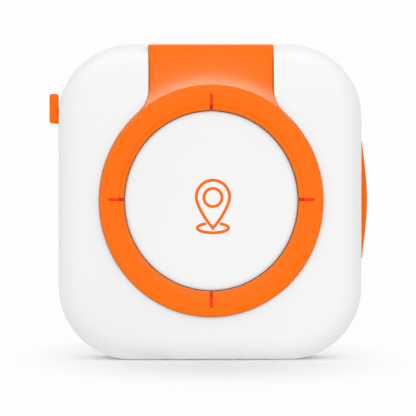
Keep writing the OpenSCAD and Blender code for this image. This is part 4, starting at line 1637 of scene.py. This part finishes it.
@dataclass
class CentreButton(SubAssembly):
    """The white button cap with its flange, guide pins and post, and the place sign printed on it."""

    edge: Point = (0.8, 0.3)
    flange_thick: float = 0.6
    sink: float = 0.1
    guide: float = 0.9
    guide_end: float = 5.2
    post: float = 2.2
    post_end: float = 3.7
    root: float = 0.05
    ink: float = 0.02
    line: float = 0.41
    least_bend: float = 0.5
    sign_across: float = 0.23
    sign_up: float = 0.56
    head: float = 2.34
    leave: float = 18.0
    shoulder: float = 1.1
    cheek: Point = (1.056, 1.2)
    tip: float = 4.42
    eye: float = 1.28
    eye_down: float = 0.09
    foot: Point = (2.21, 0.675)
    foot_down: float = 4.385
    foot_start: float = 116.0
    foot_end: float = 424.0
    flank_points: int = 16
    head_steps: int = 48
    eye_steps: int = 40
    foot_points: int = 56

    @property
    def face(self) -> float:
        """Depth of the cap's face."""
        return self.bench.case.ring_face - self.bench.case.bevel_depth - self.sink

    def cap(self) -> Piece:
        """The moulded cap.

        Returns:
            The finished cap.
        """
        bench, case, shop = self.bench, self.bench.case, self.bench.shop
        back = case.lip - case.cap_gap - self.flange_thick
        reach = case.bore_reach - case.cap_gap
        section = [(0, back), (case.flange_reach, back), (case.flange_reach, back + self.flange_thick),
                   (reach, back + self.flange_thick)]
        wide, deep = self.edge
        section += [(reach - wide * (1 - x), self.face - deep * (1 - y)) for x, y in arc(0, 0, 1, 0, 90, 10)]
        section.append((0, self.face))
        cap = shop.turned("button_disc", section, case.ring_up, tall=case.tall, around=192)
        pins = bench.at_guides(shop.rod("pin", self.guide, self.guide_end, back + self.root))
        post = shop.rod("post", self.post, self.post_end, back + self.root, case.ring_up)
        worked(cap, Join.ADD, pins, post)
        return self.hand_over(cap, Slot.WHITE_CAP, "centre_button", "button_cap")

    def stroke(self, path: Sequence[Point], closed: bool) -> tuple[list[tuple], list[tuple]]:
        """Points and faces of one printed line.

        Args:
            path: Its middle line.
            closed: True where its ends meet.

        Returns:
            The points and the faces of a thin raised band.
        """
        points, faces = [], []
        line = np.array(path)
        count = len(line)
        for i in range(count):
            before = line[i - 1] if closed or i else line[i]
            after = line[(i + 1) % count] if closed or i < count - 1 else line[i]
            along = (after - before) / np.linalg.norm(after - before)
            bend = 1.0
            if closed or 0 < i < count - 1:
                ahead = (after - line[i]) / np.linalg.norm(after - line[i])
                bend = max(self.least_bend, float(ahead @ along))
            across = np.array((-along[1], along[0])) * self.line / 2 / bend
            for side in (1, -1):
                for z in (self.face - self.ink, self.face + self.ink):
                    x, y = line[i] + side * across
                    points.append((x, self.bench.case.ring_up + y, z))
        for i in range(count if closed else count - 1):
            a, b = 4 * i, 4 * ((i + 1) % count)
            for low, high in ((0, 1), (1, 3), (3, 2), (2, 0)):
                faces.append((a + low, a + high, b + high, b + low))
        if not closed:
            faces += [(0, 1, 3, 2), (4 * count - 4, 4 * count - 3, 4 * count - 1, 4 * count - 2)]
        return points, faces

    def sign(self) -> Piece:
        """The place sign: a drop with a round eye over an oval foot.

        Returns:
            The printed sign.
        """
        cx, cy = self.sign_across, self.sign_up
        down = Vector((-math.sin(math.radians(self.leave)), -math.cos(math.radians(self.leave))))
        start, tip = Vector((-down.y, down.x)) * self.head, Vector((0.0, -self.tip))
        flank = interpolate_bezier(
            start, start + down * self.shoulder, tip + Vector(self.cheek), tip, self.flank_points)
        right, left = [[(cx + side * p.x, cy + p.y) for p in flank] for side in (1, -1)]
        crown = arc(cx, cy, self.head, -self.leave, 180 + self.leave, self.head_steps)
        drop = crown[1:-1] + left + right[-2::-1]
        eye = arc(cx, cy - self.eye_down, self.eye, 0, 360, self.eye_steps)[:-1]
        wide, high = self.foot
        foot = [(cx + wide * math.cos(a), cy - self.foot_down + high * math.sin(a))
                for a in np.radians(np.linspace(self.foot_start, self.foot_end, self.foot_points))]
        points: list[tuple] = []
        faces: list[tuple] = []
        for path, closed in ((drop, True), (eye, True), (foot, False)):
            more, sides = self.stroke(path, closed)
            faces += [tuple(i + len(points) for i in face) for face in sides]
            points += more
        return self.hand_over(solid("place_sign", points, faces), Slot.ORANGE_KEY, "centre_button")

    def build(self) -> None:
        """Builds the cap and its sign."""
        self.cap()
        self.sign()


@dataclass
class SideKeys(SubAssembly):
    """The power key on the left and the long key on the right."""

    power_proud: float = 1.3
    power_round: float = 0.4
    power_slant: float = 0.07
    inner_round: float = 0.15
    side_end: float = 0.2
    side_proud: float = 0.9
    side_round: float = 0.5
    bell: float = 1.45
    flange_near: float = 18.05
    flange_thick: float = 0.6
    flange_over: float = 0.5
    bell_points: int = 61

    def key(self, name: str, side: int, up: float, length: float,
            profile: Sequence[tuple[float, float, float]], rounding: float) -> Piece:
        """A key through the side wall, with its flange inside.

        Args:
            name: Name of the object.
            side: -1 on the left, 1 on the right.
            up: Height of its middle.
            length: Its length.
            profile: Its inner and outer side, from the middle of the case, at places along its length.
            rounding: Radius of its front and rear edges.

        Returns:
            The key.
        """
        case = self.bench.case
        half, soft = case.key_depth / 2, self.inner_round
        loops = []
        for near, reach, along in profile:
            section = arc(near + soft, soft - half, soft, 180, 270, 4)
            section += arc(reach - rounding, rounding - half, rounding, -90, 0, 6)
            section += arc(reach - rounding, half - rounding, rounding, 0, 90, 6)
            section += arc(near + soft, half - soft, soft, 90, 180, 4)
            loops.append(np.array([(side * x, up + along, case.key_middle + z) for x, z in section]))
        made = loft(name, loops)
        deep, high = half + self.flange_over, length / 2 + self.flange_over
        left, right = sorted((side * self.flange_near, side * (self.flange_near + self.flange_thick)))
        flange = block("flange", (left, up - high, case.key_middle - deep),
                       (right, up + high, case.key_middle + deep))
        return worked(made, Join.ADD, flange)

    @property
    def root(self) -> float:
        """Inner side of the keys, from the middle of the case, just inside their flanges."""
        return self.flange_near + self.flange_thick - self.bench.case.gap

    def power_key(self) -> None:
        """The small key on the left, whose upper part hangs over the side of the case."""
        case = self.bench.case
        half, soft, side = case.power_length / 2, self.power_round, case.width / 2
        front = side + self.power_proud
        corner = [(front - soft + x, half - soft + y) for x, y in arc(0, 0, soft, 0, 90, 6)]
        lower = [(self.root, side, -half - self.power_slant)]
        lower += [(self.root, x, -y) for x, y in reversed(corner)]
        over = half - case.power_over
        upper = [(self.root, front, over), (side, front, over)]
        upper += [(side + front - x, x, y) for x, y in corner]
        made = self.key("power_key_cap", -1, case.power_up, case.power_length, lower + upper, soft)
        self.hand_over(made, Slot.ORANGE_KEY, "power_button", "power_key")

    def side_key(self) -> None:
        """The long key on the right, whose outer side swells towards its middle."""
        case = self.bench.case
        end = case.width / 2 + self.side_end
        rise = self.side_proud - self.side_end
        bell = [(self.root, end + rise * (1 - t * t) ** self.bell, case.side_length / 2 * t)
                for t in np.linspace(-1, 1, self.bell_points)]
        made = self.key("side_key_cap", 1, case.ring_up, case.side_length, bell, self.side_round)
        self.hand_over(made, Slot.ORANGE_KEY, "side_button", "side_key")

    def build(self) -> None:
        """Builds both keys."""
        self.power_key()
        self.side_key()


@dataclass
class RearHardware(SubAssembly):
    """The case screws and the charging contacts, which show at the back."""

    head: float = 1.6
    head_low: float = -8.6
    head_high: float = -7.4
    head_flat: float = 0.35
    head_round: float = 0.2
    shank: float = 0.8
    shank_end: float = 3.7
    point: float = 0.25
    drive: float = 0.7
    drive_deep: float = 0.6
    contact_head: float = 1.1
    contact_thick: float = 0.5
    contact_round: float = 0.12
    dip: Point = (0.5, 0.03)
    contact: float = 0.8

    def screws(self) -> None:
        """The four case screws, with six-sided sockets in their heads."""
        shop, low, high = self.bench.shop, self.head_low, self.head_high
        section = [(0, low), (self.head - self.head_flat, low)]
        section += arc(self.head - self.head_round, low + self.head_round, self.head_round, -90, 0, 5)
        section += [(self.head, high), (self.shank, high), (self.shank, self.shank_end - self.point),
                    (self.shank - self.point, self.shank_end), (0, self.shank_end)]
        screw = shop.turned("case_screw_set", section, around=64)
        socket = shop.rod("socket", self.drive, low - OVERRUN, low + self.drive_deep, around=6)
        made = self.bench.at_screws(worked(screw, Join.CUT, socket))
        self.hand_over(made, Slot.SCREW_STEEL, "case", "case_screws")

    def contacts(self) -> None:
        """The four charging contacts, slightly dished."""
        case, soft = self.bench.case, self.contact_round
        back = case.contact_sunk - case.front
        neck = back + self.contact_thick
        section = [(0, back + self.dip[1]), (self.dip[0], back)]
        section += arc(self.contact_head - soft, back + soft, soft, -90, 0, 4)
        section += [(self.contact_head, neck), (self.contact, neck), (self.contact, case.board_back),
                    (0, case.board_back)]
        made = self.bench.at_contacts(self.bench.shop.turned("contact_set", section, around=48))
        self.hand_over(made, Slot.GOLD_CONTACT, "case", "charge_contacts")

    def build(self) -> None:
        """Builds the screws and the contacts."""
        self.screws()
        self.contacts()


@dataclass
class Interior(SubAssembly):
    """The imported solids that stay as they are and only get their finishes."""

    def build(self) -> None:
        """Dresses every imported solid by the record's own slot for it."""
        slots = {part["node"]: Slot(part["material_slot"]) for part in frame["record"]["subparts"]}
        for name, node in frame["nodes"].items():
            if node.hide_render:
                continue
            material = self.bench.materials[slots[name]]
            node.data.materials.clear()
            node.data.materials.append(material)
            LOG.info("%s: packed solid, dressed as %s", name, slots[name].value)


@dataclass(frozen=True)
class Lamp:
    """Soft rectangular lamp: its place and size in metres and its power in watts.

    A lamp that is only gloss shows in glossy surfaces and adds no light to matt ones.
    """

    name: str
    place: Place
    size: Point
    power: float
    only_gloss: bool = False

    def light(self, target: Place) -> None:
        """Adds the lamp to the scene, turned to face a target."""
        data = bpy.data.lights.new(self.name, "AREA")
        data.shape = "RECTANGLE"
        data.size, data.size_y = self.size
        data.energy = self.power
        made = bpy.data.objects.new(self.name, data)
        made.location = self.place
        made.visible_diffuse = not self.only_gloss
        made.rotation_euler = (Vector(target) - Vector(self.place)).to_track_quat("-Z", "Y").to_euler()
        bpy.context.scene.collection.objects.link(made)


@dataclass(frozen=True)
class Studio:
    """Pale floor, soft light and the camera."""

    distance: float = 0.75
    azimuth: float = -1.9
    elevation: float = 1.3
    aim: Place = (-0.000166, 0.0, 0.02133)
    field: float = 0.0593
    floor_size: float = 6.0
    floor_level: float = -0.00002
    # Near the object the floor is matt at floor_white, and further out it glows at far_white: the oval
    # between shade_near and shade_far, stretched by shade_stretch, is painted shade round the object.
    floor_white: float = 0.86
    far_white: float = 0.985
    floor_light: float = 0.88
    world_light: float = 0.79
    shade_stretch: Place = (2.7, 1.0, 1.0)
    shade_near: float = 0.015
    shade_far: float = 0.08
    lamp_target: Place = (0.0, 0.0, 0.022)
    lamps: tuple[Lamp, ...] = (
        Lamp("front_light", (-0.03, -0.85, 0.36), (1.2, 0.5), 3.05),
        Lamp("back_light", (0.0, 0.9, 0.25), (1.2, 0.5), 1.8),
        Lamp("sheen_light", (0.0, -0.13, 0.6), (1.1, 0.28), 30.0, only_gloss=True))

    def camera(self) -> None:
        """Camera at the photograph's angle."""
        turn, rise = math.radians(self.azimuth), math.radians(self.elevation)
        back = Vector((math.sin(turn) * math.cos(rise), -math.cos(turn) * math.cos(rise), math.sin(rise)))
        data = bpy.data.cameras.new("camera")
        data.sensor_width = 36.0
        data.lens = data.sensor_width * self.distance / self.field
        data.clip_start, data.clip_end = 0.01, 20.0
        made = bpy.data.objects.new("camera", data)
        made.location = Vector(self.aim) + back * self.distance
        made.rotation_euler = (-back).to_track_quat("-Z", "Y").to_euler()
        bpy.context.scene.collection.objects.link(made)
        bpy.context.scene.camera = made

    def backdrop_mask(self, kit: NodeKit) -> Socket:
        """1 for camera, glossy and transmission rays, else 0."""
        rays = kit.node("ShaderNodeLightPath").outputs
        seen = kit.sum("MAXIMUM", rays["Is Camera Ray"], rays["Is Glossy Ray"])
        return kit.sum("MAXIMUM", seen, rays["Is Transmission Ray"])

    def painted_shade_oval(self, kit: NodeKit) -> Socket:
        """Oval mask of the painted shade on the floor: 0 at the object, where the floor stays matt and
        darker, 1 further out.
        """
        spot = kit.place()
        drawn = kit.node("ShaderNodeVectorMath", {0: spot, 1: self.shade_stretch}, operation="MULTIPLY")
        reach = kit.node("ShaderNodeVectorMath", {0: drawn.outputs[0]}, operation="LENGTH").outputs["Value"]
        return kit.node("ShaderNodeMapRange", {
            "Value": reach, "From Min": self.shade_near, "From Max": self.shade_far},
            interpolation_type="SMOOTHSTEP").outputs[0]

    def floor(self) -> None:
        """Pale floor that keeps the object's shadow, with painted shade: matt and darker in an oval round the
        object, it turns to plain white further out.
        """
        half = self.floor_size / 2
        corners = ((-half, -half), (half, -half), (half, half), (-half, half))
        mesh = bpy.data.meshes.new("floor")
        mesh.from_pydata([(x, y, self.floor_level) for x, y in corners], [], [(0, 1, 2, 3)])
        made = bpy.data.objects.new("floor", mesh)
        bpy.context.scene.collection.objects.link(made)
        material = bpy.data.materials.new("pale_floor")
        material.use_nodes = True
        material.node_tree.nodes.clear()
        kit = NodeKit(material.node_tree)
        matt = kit.node("ShaderNodeBsdfDiffuse", {"Color": (*[self.floor_white] * 3, 1.0)})
        glow = kit.node("ShaderNodeEmission", {"Color": (*[self.far_white] * 3, 1.0)})
        # Painted shade: for camera and glossy rays the floor is matt and darker in an oval round the object,
        # and emitted white further out.
        mask = kit.sum("MULTIPLY", self.painted_shade_oval(kit), self.backdrop_mask(kit))
        mixed = kit.node("ShaderNodeMixShader", {0: mask, 1: matt.outputs[0], 2: glow.outputs[0]})
        spread = kit.node("ShaderNodeEmission", {"Color": (1, 1, 1, 1), "Strength": self.floor_light})
        depth = kit.node("ShaderNodeLightPath").outputs["Diffuse Depth"]
        bounced = kit.sum("COMPARE", depth, 1.0, 0.5)
        lit = kit.node("ShaderNodeMixShader", {0: bounced, 1: mixed.outputs[0], 2: spread.outputs[0]})
        kit.node("ShaderNodeOutputMaterial", {"Surface": lit.outputs[0]})
        mesh.materials.append(material)

    def world(self) -> None:
        """Even light from all sides, and white behind the object."""
        world = bpy.data.worlds.new("studio")
        bpy.context.scene.world = world
        world.use_nodes = True
        world.node_tree.nodes.clear()
        kit = NodeKit(world.node_tree)
        light = kit.node("ShaderNodeBackground", {"Color": (1, 1, 1, 1), "Strength": self.world_light})
        white = kit.node("ShaderNodeBackground", {"Color": (*[self.far_white] * 3, 1.0), "Strength": 1.0})
        seen = self.backdrop_mask(kit)
        mixed = kit.node("ShaderNodeMixShader", {0: seen, 1: light.outputs[0], 2: white.outputs[0]})
        kit.node("ShaderNodeOutputWorld", {"Surface": mixed.outputs[0]})

    def build(self) -> None:
        """Sets up camera, lamps, floor and world."""
        bpy.context.scene.view_settings.view_transform = "Standard"
        self.camera()
        for lamp in self.lamps:
            lamp.light(self.lamp_target)
        self.floor()
        self.world()


def main() -> None:
    """Builds the sub-assemblies in order, then the studio."""
    logging.basicConfig(level=logging.INFO, format="%(name)s %(message)s")
    shop = Workshop(TurnedForm(), GridRepeat(), RingRepeat())
    effects = Effects(MouldedGrain(), HandlingMarks(), DrawnLines())
    materials = {slot: finish.build(slot.value, effects) for slot, finish in FINISHES.items()}
    case = CaseSizes()
    bench = Bench(shop, materials, case, StrapSizes(case))
    for part in (Case, FaceRing, CentreButton, SideKeys, RearHardware, Interior):
        LOG.info("%s", part.__name__)
        part(bench).build()
    Studio().build()


if __name__ == "__main__":
    main()
